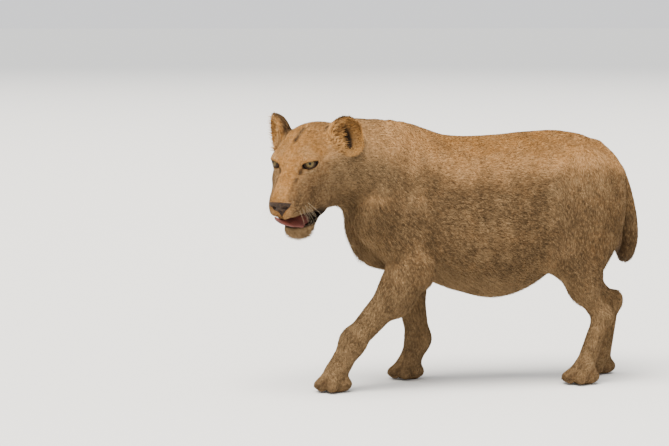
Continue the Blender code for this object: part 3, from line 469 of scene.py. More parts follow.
def tongue(p):
    """A flat tongue that comes out over the lower lip and curls up against the upper one."""
    q = head_places(p)
    best = np.full(len(q), 9.0)
    for a, b in zip(TONGUE, TONGUE[1:]):
        a, b = np.array(a), np.array(b)
        way = (b - a)[[0, 2]]
        level = q[:, [0, 2]] + np.outer(TONGUE_LEANS * (q[:, 1] - a[1]), (0, 1))
        t = np.clip((level - a[[0, 2]]) @ way / (way @ way), 0, 1)
        at = a + t[:, None] * (b - a)
        lift = q[:, 2] + TONGUE_LEANS * (q[:, 1] - at[:, 1])
        off = np.hypot(q[:, 0] - at[:, 0], lift - at[:, 2])
        ring = np.hypot((q[:, 1] - at[:, 1]) / at[:, 3], off / at[:, 4])
        best = blend(best, (ring - 1) * at[:, 4], 0.15)
    return np.maximum(best * CM, TONGUE_GAP - head(p))


def head(p, ears=True, thicker=0.0):
    q = head_places(p)
    made = blend(upper_head(q), lower_jaw(q), 1.2)
    made = carve(made, mouth(q), 0.5)
    if ears:
        for side in (LEFT, RIGHT):
            made = blend(made, ear(q, side, thicker), 1.0)
    return made * CM


# Each limb with the box that holds it, as far points aren't worked out, and how far its joint is rounded over
LIMBS = (
    (lambda p: foreleg(p, FORE_LEFT, LEFT), (-0.64, -0.32, -0.05), (0.0, 0.05, 0.92), 0.020),
    (lambda p: foreleg(p, FORE_RIGHT, RIGHT), (-0.46, -0.05, -0.05), (0.02, 0.32, 0.92), 0.020),
    (lambda p: hindleg(p, HIND_LEFT, LEFT), (0.10, -0.32, -0.05), (0.62, 0.05, 0.92), 0.042),
    (lambda p: hindleg(p, HIND_RIGHT, RIGHT), (0.10, -0.05, -0.05), (0.66, 0.32, 0.92), 0.042),
    (lambda p: chain(p, eased(TAIL, 5), 0.0008), (0.36, -0.12, 0.28), (0.72, 0.50, 0.84), 0.022),
)
HEAD_BOX = ((-0.95, -0.55, 0.38), (-0.35, 0.12, 0.98))


def lioness(p, ears=True, thicker=0.0):
    made = blend(trunk(p), chain(p, NECK, 0.05), 0.06)
    made = blend(made, ellipsoid(p, *BREAST), 0.05)
    for mass, low, high, reach in LIMBS:
        near = np.all((p > low) & (p < high), axis=1)
        made[near] = blend(made[near], mass(p[near]), reach)
    near = np.all((p > HEAD_BOX[0]) & (p < HEAD_BOX[1]), axis=1)
    made[near] = blend(made[near], head(p[near], ears, thicker), 0.05)
    return made


# ---------------------------------------------------------------- the skin
def skin_depth(p):
    """How deep the skin lies in the coat: next to nothing on the face and feet, more on the body."""
    q = head_places(p)
    face = np.clip((q[:, 0] + 14) / 12, 0, 1) * near_head(p)
    feet = np.clip((0.16 - p[:, 2]) / 0.12, 0, 1)
    return BODY_DEPTH + (FACE_DEPTH - BODY_DEPTH) * np.maximum(face, feet * 0.7)


def near_head(p):
    return np.all((p > HEAD_BOX[0]) & (p < HEAD_BOX[1]), axis=1).astype(float)


def skin(p):
    return np.maximum(lioness(p), -p[:, 2]) + skin_depth(p)


def skin_with_thick_ears(p):
    """The skin as it is netted first, with ears that a coarse net can't break."""
    return np.maximum(lioness(p, thicker=EAR_THICKER), -p[:, 2]) + skin_depth(p)


def grid_places(axes):
    """The places of a grid's points, row by row."""
    return np.stack(np.meshgrid(*axes, indexing="ij"), axis=-1).reshape(-1, 3)


def grid_values(shape, low, high, cell, jump=3):
    """Distances over a box of cells: worked out coarsely first, then finely where the surface is near."""
    counts = [int(math.ceil((b - a) / (cell * jump))) * jump + 1 for a, b in zip(low, high)]
    axes = [a + cell * np.arange(n) for a, n in zip(low, counts)]
    coarse = shape(grid_places([axis[::jump] for axis in axes]))
    coarse = coarse.reshape([(n - 1) // jump + 1 for n in counts])
    nearest = [np.round(np.arange(n) / jump).astype(int) for n in counts]
    values = coarse[np.ix_(*nearest)]
    close = np.argwhere(np.abs(values) < 2 * jump * cell)
    places = np.array(low) + cell * close
    values[tuple(close.T)] = shape(places)
    for axis in range(3):
        rim = [slice(None)] * 3
        rim[axis] = [0, -1]
        values[tuple(rim)] = cell
    return values, axes


def net(values, axes):
    """Corners and four-sided faces over the zero surface, one corner in each cell that it crosses."""
    cells = [n - 1 for n in values.shape]
    total, count, crossings = np.zeros((*cells, 3)), np.zeros(cells), []
    for axis in range(3):
        first, second = [slice(None)] * 3, [slice(None)] * 3
        first[axis], second[axis] = slice(0, -1), slice(1, None)
        a, b = values[tuple(first)], values[tuple(second)]
        found = np.argwhere((a < 0) != (b < 0))
        others = [n for n in range(3) if n != axis]
        for n in others:
            found = found[(found[:, n] > 0) & (found[:, n] < cells[n])]
        va, vb = a[tuple(found.T)], b[tuple(found.T)]
        place = found.astype(float)
        place[:, axis] += va / (va - vb)
        for du in (0, -1):
            for dv in (0, -1):
                at = found.copy()
                at[:, others[0]] += du
                at[:, others[1]] += dv
                np.add.at(total, tuple(at.T), place)
                np.add.at(count, tuple(at.T), 1)
        crossings.append((axis, others, found, va < 0))
    used = count > 0
    number = np.full(cells, -1)
    number[used] = np.arange(used.sum())
    start, step = np.array([axis[0] for axis in axes]), axes[0][1] - axes[0][0]
    corners = start + step * total[used] / count[used][:, None]
    faces = []
    for axis, others, found, outwards in crossings:
        ring = []
        for du, dv in ((-1, -1), (0, -1), (0, 0), (-1, 0)):
            at = found.copy()
            at[:, others[0]] += du
            at[:, others[1]] += dv
            ring.append(number[tuple(at.T)])
        quad = np.stack(ring, axis=1)
        flip = outwards != (axis != 1)
        quad[flip] = quad[flip][:, ::-1]
        faces.append(quad)
    return corners, np.concatenate(faces)


def slopes(shape, corners, step=1e-4):
    """The values of the shape at the corners, and how steeply and which way they rise."""
    value = shape(corners)
    rise = np.stack([(shape(corners + way) - value) / step for way in np.eye(3) * step], axis=1)
    return value, rise


def settle(corners, shape, rounds=3, reach=0.002):
    """Moves corners onto the shape's surface."""
    for _ in range(rounds):
        value, rise = slopes(shape, corners)
        size = np.maximum((rise**2).sum(axis=1), 0.05)
        move = (value / size)[:, None] * rise
        far = np.maximum(np.linalg.norm(move, axis=1) / reach, 1)
        corners = corners - move / far[:, None]
    return corners


def mesh_of(name, corners, faces):
    mesh = bpy.data.meshes.new(name)
    mesh.vertices.add(len(corners))
    mesh.vertices.foreach_set("co", np.asarray(corners, np.float32).ravel())
    sides = faces.shape[1]
    mesh.loops.add(faces.size)
    mesh.loops.foreach_set("vertex_index", faces.astype(np.int32).ravel())
    mesh.polygons.add(len(faces))
    mesh.polygons.foreach_set("loop_start", np.arange(0, faces.size, sides, dtype=np.int32))
    mesh.update(calc_edges=True)
    mesh.validate()
    return mesh


def corners_of(mesh):
    found = np.empty(len(mesh.vertices) * 3, np.float32)
    mesh.vertices.foreach_get("co", found)
    return found.reshape(-1, 3).astype(float)


def normals_of(mesh):
    found = np.empty(len(mesh.vertices) * 3, np.float32)
    mesh.vertex_normals.foreach_get("vector", found)
    return found.reshape(-1, 3).astype(float)


def place_object(name, mesh, finish):
    """An object for a finished mesh, at the origin, smooth and in its material."""
    mesh.name = name
    mesh.materials.clear()
    mesh.materials.append(finish)
    mesh.shade_smooth()
    made = bpy.data.objects.new(name, mesh)
    bpy.context.scene.collection.objects.link(made)
    return made


def refine(mesh, chosen):
    """Cuts each chosen face of a mesh into four and eases its neighbours."""
    work = bmesh.new()
    work.from_mesh(mesh)
    work.faces.ensure_lookup_table()
    edges = {edge for face in work.faces if chosen[face.index] for edge in face.edges}
    bmesh.ops.subdivide_edges(work, edges=list(edges), cuts=1, use_grid_fill=True)
    work.to_mesh(mesh)
    work.free()


def face_middles(mesh):
    found = np.empty(len(mesh.polygons) * 3, np.float32)
    mesh.polygons.foreach_get("center", found)
    return found.reshape(-1, 3).astype(float)


def make_skin_mesh(cell):
    """The skin in the maker's frame: a net over the body, made finer on the head and finest on the face."""
    corners, faces = net(*grid_values(skin_with_thick_ears, BODY_LOW, BODY_HIGH, cell))
    mesh = mesh_of("skin", settle(corners, skin), faces)
    for ahead, up in FINER:
        middles = face_middles(mesh)
        q = head_places(middles)
        chosen = (near_head(middles) > 0) & (q[:, 0] > ahead) & (q[:, 2] > up) & (np.abs(q[:, 1]) < 19)
        refine(mesh, chosen)
        places = corners_of(mesh)
        q = head_places(places)
        moved = (near_head(places) > 0) & (q[:, 0] > ahead - 1.5) & (q[:, 2] > up - 1.5)
        places[moved] = settle(places[moved], skin)
        mesh.vertices.foreach_set("co", places.astype(np.float32).ravel())
        mesh.update()
    return mesh


# ---------------------------------------------------------------- markings and the lie of the coat
def ramp(value, start, end):
    """0 at the start, 1 at the end, eased between."""
    share = np.clip((value - start) / (end - start), 0, 1)
    return share * share * (3 - 2 * share)


def spot(points, centre, radii, soft=0.35):
    """1 inside an oval and 0 outside it, softened over a share of its size."""
    near = np.linalg.norm((points - np.array(centre)) / np.array(radii), axis=1)
    return 1 - ramp(near, 1 - soft, 1 + soft)


def stroke(points, line, width, soft=0.5):
    """1 along a line of points, softened at its edges."""
    best = np.full(len(points), 99.0)
    for a, b in zip(line, line[1:]):
        a, b = np.array(a, float), np.array(b, float)
        t = np.clip((points - a) @ (b - a) / ((b - a) @ (b - a)), 0, 1)
        best = np.minimum(best, np.linalg.norm(points - a - t[:, None] * (b - a), axis=1))
    return 1 - ramp(best / width, 1 - soft, 1 + soft)


def nearest_part(p):
    """Which limb each point belongs to, and a share for each: trunk, four legs, tail, head, neck."""
    gaps = [trunk(p)] + [np.full(len(p), 0.5) for _ in LIMBS] + [np.full(len(p), 0.5), chain(p, NECK, 0.05)]
    for number, (mass, low, high, _) in enumerate(LIMBS):
        near = np.all((p > low) & (p < high), axis=1)
        gaps[number + 1][near] = mass(p[near])
    near = near_head(p) > 0
    gaps[HEAD_PART][near] = head(p[near])
    gaps = np.stack(gaps, axis=1)
    shares = np.exp(-(gaps - gaps.min(axis=1, keepdims=True)) / PART_EASE)
    return gaps.argmin(axis=1), shares / shares.sum(axis=1, keepdims=True)


def unit(v):
    return v / np.maximum(np.linalg.norm(v, axis=-1, keepdims=True), 1e-9)


def along_line(p, points):
    """The direction of a line of points where it passes nearest to each place, eased from part to part."""
    points = np.array(points, float)
    middles, ways = (points[1:] + points[:-1]) / 2, unit(points[1:] - points[:-1])
    off = np.linalg.norm(p[:, None, :] - middles[None], axis=2)
    shares = np.exp(-(off - off.min(axis=1, keepdims=True)) / 0.03)
    return unit(shares @ ways)


def leg_line(limb, side):
    """The joints of a limb from the top down, on its own side."""
    names = ("blade", "shoulder", "elbow", "wrist", "hip", "knee", "hock", "knuckle", "toes")
    return [side_of(limb[name], side) for name in names if name in limb]


def lie_of(p, normals, shares):
    """The way the hairs lie at each corner of the skin."""
    q = head_places(p)
    side = np.sign(q[:, 1])
    low = np.clip((0.70 - p[:, 2]) / 0.3, 0, 1)
    ways = [np.column_stack((np.ones(len(p)), 0 * low, -0.55 * low))]
    for limb, hand in LEGS:
        ways.append(along_line(p, leg_line(limb, hand)) + np.array((0.25, 0, 0)) * (p[:, 2:] > 0.1))
    ways.append(along_line(p, [centre for centre, _ in TAIL]))
    outwards, up = side * (0.15 + 0.25 * (q[:, 0] < 3)), np.where(q[:, 2] > -1, 0.35, -0.45)
    face = np.column_stack((-1 + 0 * side, outwards, up))
    muzzle = ramp(q[:, 0], 3, 8)[:, None] * (q[:, 2:] < -6)
    face = face * (1 - muzzle) + np.column_stack((-0.6 + 0 * side, side * 0.5, -0.8 + 0 * side)) * muzzle
    ways.append(unit(face) @ HEAD_TURN.T)
    throat = ramp(-p[:, 2], -0.62, -0.45)[:, None]
    ways.append(unit(np.array((0.9, 0.35, -0.35)) * (1 - throat) + np.array((0.25, 0.0, -1.0)) * throat))
    lie = sum(share[:, None] * unit(way) for share, way in zip(shares.T, ways))
    for hand in (LEFT, RIGHT):
        r, shell, inner = ear_measures(q, normals @ HEAD_TURN, hand)
        own = ramp(-shell, -0.9, -0.2) * (q[:, 0] < -5)
        outer = unit(np.column_stack((0.2 + 0 * shell, 0.15 * np.sign(r[:, 1]), np.ones(len(r)))))
        sweep = unit(np.column_stack((0.25 + 0 * shell, 1.0 + 0 * shell, 0.30 + 0.12 * r[:, 2])))
        way = np.where(inner[:, None] > 0.5, sweep, outer) @ aimed(EAR_FACES[hand], EAR_UP).T
        way = as_left(way, hand) @ HEAD_TURN.T
        lie = lie * (1 - own[:, None]) + way * own[:, None]
    lie[:, 2] *= ramp(p[:, 2], 0.0, 0.05)
    lie -= normals * (lie * normals).sum(axis=1, keepdims=True)
    lie[:, 2] = np.maximum(lie[:, 2], -p[:, 2] / 0.03)
    return unit(lie)


def ear_measures(q, facing, hand):
    """A place in an ear's own measures, how far out of its shell it is, and if it is on the hollow side."""
    own_axes = aimed(EAR_FACES[hand], EAR_UP)
    r = (as_left(q, hand) - np.array(EAR_MID)) @ own_axes
    outwards = as_left(facing, hand) @ own_axes
    to_middle = unit(np.array(EAR_CUP[0]) - r)
    inner = ramp((outwards * to_middle).sum(axis=1), -0.25, 0.25) * (ellipsoid(r, *EAR_CUP) < 0.9)
    return r, ellipsoid(r, *EAR_SHELL), inner


def gold_and_sunlit_top_mask(p, q, normals, head_share, cheek):
    """How golden she is: most along the back, on the forehead and down the bridge of the nose; on the body
    partly painted sunlight that rises where the skin faces up.
    """
    # Painted sunlight with the gold of her back: more gold where the skin lies high and faces up, most along
    # the spine
    gold = ramp(0.55 * normals[:, 2] + 2.2 * (p[:, 2] - 0.70), -0.15, 0.42)
    sunlit_spine = ramp(p[:, 0], -0.30, -0.02) * (1 - ramp(p[:, 0], 0.18, 0.42)) * ramp(normals[:, 2], 0.45, 0.95)
    gold *= 0.66 + 0.30 * sunlit_spine
    muzzle = ramp(q[:, 0], 2.0, 7.0) * head_share
    head_gold = ramp(q[:, 2] + 0.42 * q[:, 0], -8.0, -0.5) * (1 - 0.75 * cheek)
    head_gold *= 1 - 0.45 * muzzle * ramp(np.abs(q[:, 1]), 0.6, 3.4)
    return gold * (1 - head_share) + head_share * head_gold


def pale_mask(p, q, normals, shares, head_share, cheek, ahead):
    """How pale she is: below, inside and low on the legs, on the neck, where it is partly painted sheen, and
    about the mouth and the eyes.
    """
    even = mirrored(q)
    legs = shares[:, LEG_PARTS].sum(axis=1)
    belly = ramp(-normals[:, 2], 0.25, 0.9) * ramp(p[:, 2], 0.12, 0.25) * (1 - head_share)
    inside = ramp(-np.sign(p[:, 1]) * normals[:, 1], 0.3, 0.9) * legs
    low_legs = ramp(-p[:, 2], -0.42, -0.20) * legs
    low_cheek = 0.36 * head_share * cheek * (1 - ramp(q[:, 0], 1.0, 5.0)) * ramp(-q[:, 2], 2.5, 6.0)
    # The neck's paleness is partly its own colour and partly painted sheen
    soft = 0.34 * shares[:, NECK_PART] + low_cheek + 0.26 * low_legs
    chin = ramp(-q[:, 2] - 0.25 * q[:, 0], 9.4, 11.6) * ramp(q[:, 0], -3, 2) * head_share
    lids = (even - np.array(EYE)) @ LID_TURN
    under_eye = spot(lids[:, 1:], (0.35, -1.58), (1.9, 0.34), 0.6) * ahead * 0.9
    over_eye = spot(lids[:, 1:], (-0.2, 2.5), (1.8, 0.8), 0.7) * ahead * 0.35
    lip_spot = spot(even[:, [0, 2]], (8.2, -9.2), (3.4, 1.0), 0.5)
    upper_lip = lip_spot * ramp(even[:, 1], 1.0, 2.2) * head_share * 0.5
    return np.maximum.reduce([0.6 * belly, 0.35 * inside, soft, chin, under_eye, over_eye, upper_lip])


def lower_side(q):
    """Which places of the head lie below the gap between the jaws."""
    return q[:, 2] < -11.6 - 0.27 * (q[:, 0] - 6)


def bare_mask(q, on_head):
    """Where her skin shows without hairs: the rims of the eyes and the edges of the lips."""
    lids = (mirrored(q) - np.array(EYE)) @ LID_TURN
    opening = np.hypot(lids[:, 1] / 2.15, lids[:, 2] / 1.08)
    rim = (1 - ramp(opening, 1.0, 1.20)) * (q[:, 0] > -1) * on_head
    lower_lip = 1.6 + 1.7 * ramp(-q[:, 0], -6.0, -2.5)
    reach = np.where(lower_side(q), lower_lip, 0.45)
    lips = (1 - ramp(mouth(q), 0.05, reach)) * on_head * (q[:, 0] > -3)
    return np.maximum(rim, lips)


def whisker_rows(q, on_head):
    """The dark spots that the whiskers grow from."""
    flat = mirrored(q)[:, [0, 2]]
    rows = np.zeros(len(q))
    for row in range(4):
        for place in range(5):
            rows = np.maximum(rows, spot(flat, whisker_root(row, place)[[0, 2]], (0.26, 0.22), 0.5))
    return rows * ((np.abs(q[:, 1]) > 1.6) * on_head * 0.8)


def toe_cleft_shade(p):
    """Painted shade in the clefts between the toes of all four feet."""
    cleft_shade = np.zeros(len(p))
    for limb, hand in LEGS:
        knuckle, toes = np.array(side_of(limb["knuckle"], hand)), np.array(side_of(limb["toes"], hand))
        for across in (-0.029, 0.0, 0.029):
            line = (knuckle + (-0.016, across * 0.85, -0.004), toes + (-0.022, across, -0.014))
            cleft_shade = np.maximum(cleft_shade, stroke(p, line, 0.0085, 0.6) * (p[:, 2] > 0.004))
    return cleft_shade


def dark_mask(p, q, shares, head_share, ahead):
    """Her dark marks: the lines of the face, whisker spots, shade of chin and muzzle, painted shade between
    the toes, and the tail's end.
    """
    on_head = head_share > 0.5
    even = mirrored(q)
    front = even[:, 1:]
    tear = stroke(front, TEAR_LINE, 0.42, 0.95) * 0.60
    tear = np.maximum(tear, stroke(front, TEAR_LINE[:2], 0.50, 0.8) * 0.9) * ahead * (q[:, 0] > 0.5)
    brow_line = stroke(q, BROW_LINE, 0.55, 0.9) * on_head
    crease = stroke(even, EAR_CREASE, 0.50, 0.9) * 0.9 * on_head
    chin_shade = (1 - ramp(mouth(q), 1.4, 3.6)) * lower_side(q) * ramp(q[:, 0], -2, 2) * on_head * 0.35
    side_shade = ramp(q[:, 0], -1.5, 2.5) * ramp(even[:, 1], 1.4, 3.0) * ramp(-q[:, 2], 1.0, 3.5)
    side_shade = side_shade * head_share * 0.28
    tail_end = np.maximum(ramp(p[:, 1], 0.18, 0.28), 0.75 * ramp(-p[:, 2], -0.50, -0.40))
    tip = ramp(shares[:, TAIL_PART], 0.3, 0.7) * tail_end
    return np.maximum.reduce([
        tear, brow_line, crease, whisker_rows(q, on_head), chin_shade, side_shade, tip * 0.95,
        toe_cleft_shade(p) * 0.7,
    ])


def markings(p, normals, shares):
    """The masks that colour skin and coat alike, worked out at each corner from where it lies on the body."""
    q = head_places(p)
    head_share = shares[:, HEAD_PART] * near_head(p)
    on_head = head_share > 0.5
    facing = normals @ HEAD_TURN
    ahead = ramp(facing[:, 0], -0.1, 0.35) * (q[:, 0] > -4) * on_head
    cheek = ramp(np.abs(q[:, 1]), 2.2, 4.0) * ramp(-q[:, 2], -0.6, 1.6)
    gold = gold_and_sunlit_top_mask(p, q, normals, head_share, cheek)
    pale = pale_mask(p, q, normals, shares, head_share, cheek, ahead)
    dark = dark_mask(p, q, shares, head_share, ahead)
    bare_skin_and_ear_shade = bare_mask(q, on_head)
    ochre, hollow, fringe = (np.zeros(len(p)) for _ in range(3))
    for hand in (LEFT, RIGHT):
        r, shell, inner = ear_measures(q, facing, hand)
        own = (shell < 1.0) & (q[:, 0] < -5) & (near_head(p) > 0) & (-hand * q[:, 1] > 2)
        outer_side = np.maximum(ramp(-r[:, 0], -0.3, 1.2), ramp(r[:, 2], 3.4, 4.5))
        back = own * (1 - inner) * outer_side * ramp(r[:, 2], -2.6, -0.4)
        # Painted shadow deep in each ear's hollow, strong in the left ear and faint in the right: it goes
        # into the dark and bare masks and thins the tufts there
        deep = own * inner * spot(r[:, 1:], (0.3, -1.5), (1.6, 3.0), 0.45) * (1.0 if hand == LEFT else 0.3)
        dark = np.maximum.reduce([dark, back * 0.9, deep])
        bare_skin_and_ear_shade = np.maximum(bare_skin_and_ear_shade, deep * 0.9)
        ochre = np.maximum(ochre, own * np.maximum(inner, ramp(r[:, 0], -0.4, 1.0)) * (1 - back))
        hollow = np.maximum(hollow, own * inner)
        fringe = np.maximum(fringe, own * np.maximum(inner, r[:, 0] > 0.6) * ramp(-r[:, 1], 0.4, 1.6))
    pale = np.maximum(pale, fringe * np.where(q[:, 1] > 0, 0.22, 0.45))
    return {
        "gold": gold, "pale": pale, "dark": dark, "ochre": ochre, "bare_skin_and_ear_shade": bare_skin_and_ear_shade, "hollow": hollow,
        "fringe": fringe, "down": shares[:, 1:6].sum(axis=1),  # legs and tail, whose hairs run downwards
    }


def whisker_root(row, place):
    """Where a whisker grows on the left pad of the muzzle, in the head's centimetres."""
    return np.array((10.6 - 1.15 * place - 0.25 * row, 4.2, -7.9 - 0.75 * row + 0.10 * place))


ZONES = (
    "trunk_left", "trunk_right", "foreleg_left", "foreleg_right", "hindleg_left", "hindleg_right",
    "tail", "head", "ears", "neck",
)


def zone_of(p, part, marks):
    """The number of the coat piece that each corner belongs to."""
    zone = np.where(p[:, 1] < 0, 0, 1)
    for number in range(4):
        zone[part == number + 1] = number + 2
    for own, name in ((TAIL_PART, "tail"), (HEAD_PART, "head"), (NECK_PART, "neck")):
        zone[part == own] = ZONES.index(name)
    backs_of_ears = (marks["dark"] > 0.5) & (part == HEAD_PART) & (p[:, 2] > 0.77)
    zone[(marks["ochre"] + marks["hollow"] > 0.3) | backs_of_ears] = ZONES.index("ears")
    return zone


def coat_sizes(p, normals, shares, marks):
    """The length, width, lift and closeness of the tufts at each corner."""
    q = head_places(p)
    head_share = shares[:, HEAD_PART] * near_head(p)
    feet = ramp(-p[:, 2], -0.20, -0.06)
    under = ramp(-normals[:, 2], 0.1, 0.8) * (p[:, 2] > 0.25)
    long = COAT_LONG - FEET_SHORTER * feet + BELLY_LONGER * under * (1 - head_share)
    chest = ramp(-p[:, 0], 0.24, 0.34) * ramp(-p[:, 2], -0.62, -0.52)
    chest = chest * (p[:, 2] > 0.40) * (1 - head_share)
    long += CHEST_LONGER * chest
    tail_end = shares[:, TAIL_PART] * ramp(p[:, 1], 0.20, 0.30)
    long += TAIL_LONGER * tail_end * (1 - 0.6 * ramp(p[:, 1], 0.33, 0.38))
    face = ramp(q[:, 0], -9, -1)
    head_long = HEAD_LONG * (1 - face) + FACE_LONG * face - MUZZLE_SHORTER * ramp(q[:, 0], 3, 8)
    long = long * (1 - head_share) + head_long * head_share
    ruff = head_share * ramp(-q[:, 2], 8, 13) * ramp(-q[:, 0], 0, 6)
    beard = head_share * ramp(-q[:, 2], 15.0, 17.0) * ramp(q[:, 0], 2, 5)
    long += RUFF_LONGER * ruff + BEARD_LONGER * beard
    long = np.where(marks["hollow"] > 0.5, CUP_LONG, long)
    long = long * (1 - marks["fringe"]) + FRINGE_LONG * marks["fringe"]
    wide = COAT_WIDE - FACE_NARROWER * head_share * face - FEET_NARROWER * feet
    wide = wide * (1 - 0.25 * tail_end) + FRINGE_WIDER * marks["fringe"]
    lift = COAT_LIFT + 0.10 * under + 0.25 * tail_end + 0.15 * chest + 0.12 * ruff + 0.35 * beard
    lift = np.where(marks["hollow"] > 0.5, CUP_LIFT, lift)
    lift = lift * (1 - marks["fringe"]) + (FRINGE_LIFT + 0.7 * marks["hollow"]) * marks["fringe"]
    close = 1 / (long * wide * TUFT_COVER)
    # Fewer or no tufts on bare skin and in the painted shadow of the ears' hollows
    close *= 1 - ramp(marks["bare_skin_and_ear_shade"], 0.3, 0.6)
    close *= ramp(p[:, 2], 0.006, 0.016)
    close *= 1 - 0.9 * (marks["hollow"] > 0.5) * ramp(marks["dark"], 0.3, 0.8)
    close *= 1 + FRINGE_CLOSER * marks["fringe"]
    return {"long": long, "wide": wide, "lift": lift, "close": close}


# ---------------------------------------------------------------- node trees
class Socket:
    """A socket of a node tree that works in sums as a number or a vector does."""

    def __init__(self, nodes, plug):
        self.nodes = nodes
        self.plug = plug

    def __add__(self, other):
        return self.nodes.maths("ADD", self, other)

    __radd__ = __add__

    def __sub__(self, other):
        return self.nodes.maths("SUBTRACT", self, other)

    def __rsub__(self, other):
        return self.nodes.maths("SUBTRACT", other, self)

    def __mul__(self, other):
        return self.nodes.maths("MULTIPLY", self, other)

    __rmul__ = __mul__

    def within(self, low, high):
        """0 at the low value and 1 at the high one, held there beyond them."""
        values = {"Value": self, "From Min": low, "From Max": high}
        return self.nodes.node("ShaderNodeMapRange", {"interpolation_type": "SMOOTHSTEP"}, values)


class Nodes:
    """A node tree in the making."""

    def __init__(self, tree):
        self.tree = tree
        tree.nodes.clear()

    def node(self, kind, settings=None, values=None, give=0):
        """Adds a node of a kind, with its settings and then the values or links of its sockets."""
        made = self.tree.nodes.new(kind)
        for name, value in (settings or {}).items():
            setattr(made, name, value)
        for name, value in (values or {}).items():
            self.feed(made, name, value)
        return self.of(made, give)

    def of(self, made, give):
        shown = [plug for plug in made.outputs if plug.enabled]
        if not shown:
            return made
        if isinstance(give, str):
            return Socket(self, next(plug for plug in shown if plug.name == give))
        return Socket(self, shown[give])

    def another(self, socket, name):
        """Another output of the node that a socket belongs to."""
        return self.of(socket.plug.node, name)

    def feed(self, made, name, value):
        shown = [plug for plug in made.inputs if plug.enabled]
        plug = shown[name] if isinstance(name, int) else next(p for p in shown if p.name == name)
        if isinstance(value, Socket):
            self.tree.links.new(value.plug, plug)
        elif value is not None:
            plug.default_value = value

    def maths(self, operation, *values):
        vectors = [isinstance(value, Socket) and value.plug.type in ("VECTOR", "RGBA") for value in values]
        if not any(vectors):
            return self.node("ShaderNodeMath", {"operation": operation}, dict(enumerate(values)))
        if operation == "MULTIPLY" and not all(vectors) and not any(isinstance(v, tuple) for v in values):
            vector, number = values if vectors[0] else values[::-1]
            scaled = {"Vector": vector, "Scale": number}
            return self.node("ShaderNodeVectorMath", {"operation": "SCALE"}, scaled)
        return self.node("ShaderNodeVectorMath", {"operation": operation}, dict(enumerate(values)))

    def mix(self, share, a, b):
        """A colour between two others."""
        a, b = ((*value, 1) if isinstance(value, tuple) and len(value) == 3 else value for value in (a, b))
        settings = {"data_type": "RGBA", "clamp_factor": True}
        return self.node("ShaderNodeMix", settings, {"Factor": share, "A": a, "B": b})

    def mask(self, name):
        return self.node("ShaderNodeAttribute", {"attribute_name": name}, give="Fac")

    def noise(self, place, scale, detail=2.0, roughness=0.5):
        values = {"Vector": place, "Scale": scale, "Detail": detail, "Roughness": roughness}
        return self.node("ShaderNodeTexNoise", None, values, "Fac")


def new_material(name, constants):
    """A material with its node tree begun: the constants go straight onto the shader's own sockets."""
    made = bpy.data.materials.new(name)
    made.use_nodes = True
    nodes = Nodes(made.node_tree)
    shader = made.node_tree.nodes.new("ShaderNodeBsdfPrincipled")
    output = made.node_tree.nodes.new("ShaderNodeOutputMaterial")
    made.node_tree.links.new(shader.outputs["BSDF"], output.inputs["Surface"])
    for socket, value in constants.items():
        shader.inputs[socket].default_value = value
    return made, nodes, shader


def object_place(nodes):
    return nodes.node("ShaderNodeTexCoord", give="Object")


def coat_colour(nodes, place, look):
    """The coat's colours by its masks: gold above with painted sunlight, grey gold darkened with painted
    shade on the flanks, her pale and dark marks.
    """
    patches = nodes.noise(place, 9.0, 3.0)
    mottles = nodes.noise(place, 26.0, 2.0, 0.6)
    fine = nodes.noise(place, 70.0, 3.0, 0.6)
    along_body = nodes.noise(nodes.maths("MULTIPLY", place, (85.0, 260.0, 260.0)), 1.0, 2.0, 0.7)
    along_legs = nodes.noise(nodes.maths("MULTIPLY", place, (260.0, 260.0, 85.0)), 1.0, 2.0, 0.7)
    flecks = along_body + (along_legs - along_body) * nodes.mask("down")
    fold_shade = nodes.noise(nodes.maths("MULTIPLY", place, (17.0, 17.0, 5.0)), 1.0, 2.0, 0.5)
    # Painted sunlight and shade: the gold mask lifts the flank's grey gold, darkened with painted shade,
    # through khaki to the back's gold
    gold = nodes.mask("gold") + (patches - 0.5) * 0.5 + (fine - 0.5) * 0.5
    colour = nodes.mix(gold.within(-0.10, 0.62), tuple(look.shaded_flank), tuple(look.khaki))
    colour = nodes.mix(gold.within(0.35, 1.10), colour, tuple(look.back))
    colour = nodes.mix(nodes.mask("ochre") * 0.92, colour, tuple(look.ochre))
    colour = nodes.mix(nodes.mask("pale") * (0.85 + (fine - 0.5) * 0.8), colour, tuple(look.pale))
    colour = nodes.mix((fine - 0.35) * 0.55, colour, tuple(look.grizzle))
    colour = nodes.mix(mottles.within(0.45, 0.70) * 0.24, colour, tuple(look.grizzle_dark))
    colour = nodes.mix((1 - mottles.within(0.30, 0.52)) * 0.22, colour, tuple(look.pale))
    # Painted shade in vertical bands like folds, with a little painted light between them
    colour = nodes.mix(fold_shade.within(0.50, 0.68) * 0.28, colour, tuple(look.grizzle_dark))
    colour = nodes.mix((1 - fold_shade.within(0.34, 0.48)) * 0.10, colour, tuple(look.pale))
    colour = nodes.mix(flecks.within(0.48, 0.66) * 0.40, colour, tuple(look.grizzle_dark))
    colour = nodes.mix((1 - flecks.within(0.36, 0.50)) * 0.26, colour, tuple(look.pale))
    dark = nodes.mask("dark") * (1.15 - (fine - 0.35) * 0.9)
    return nodes.mix(dark, colour, tuple(look.dark))


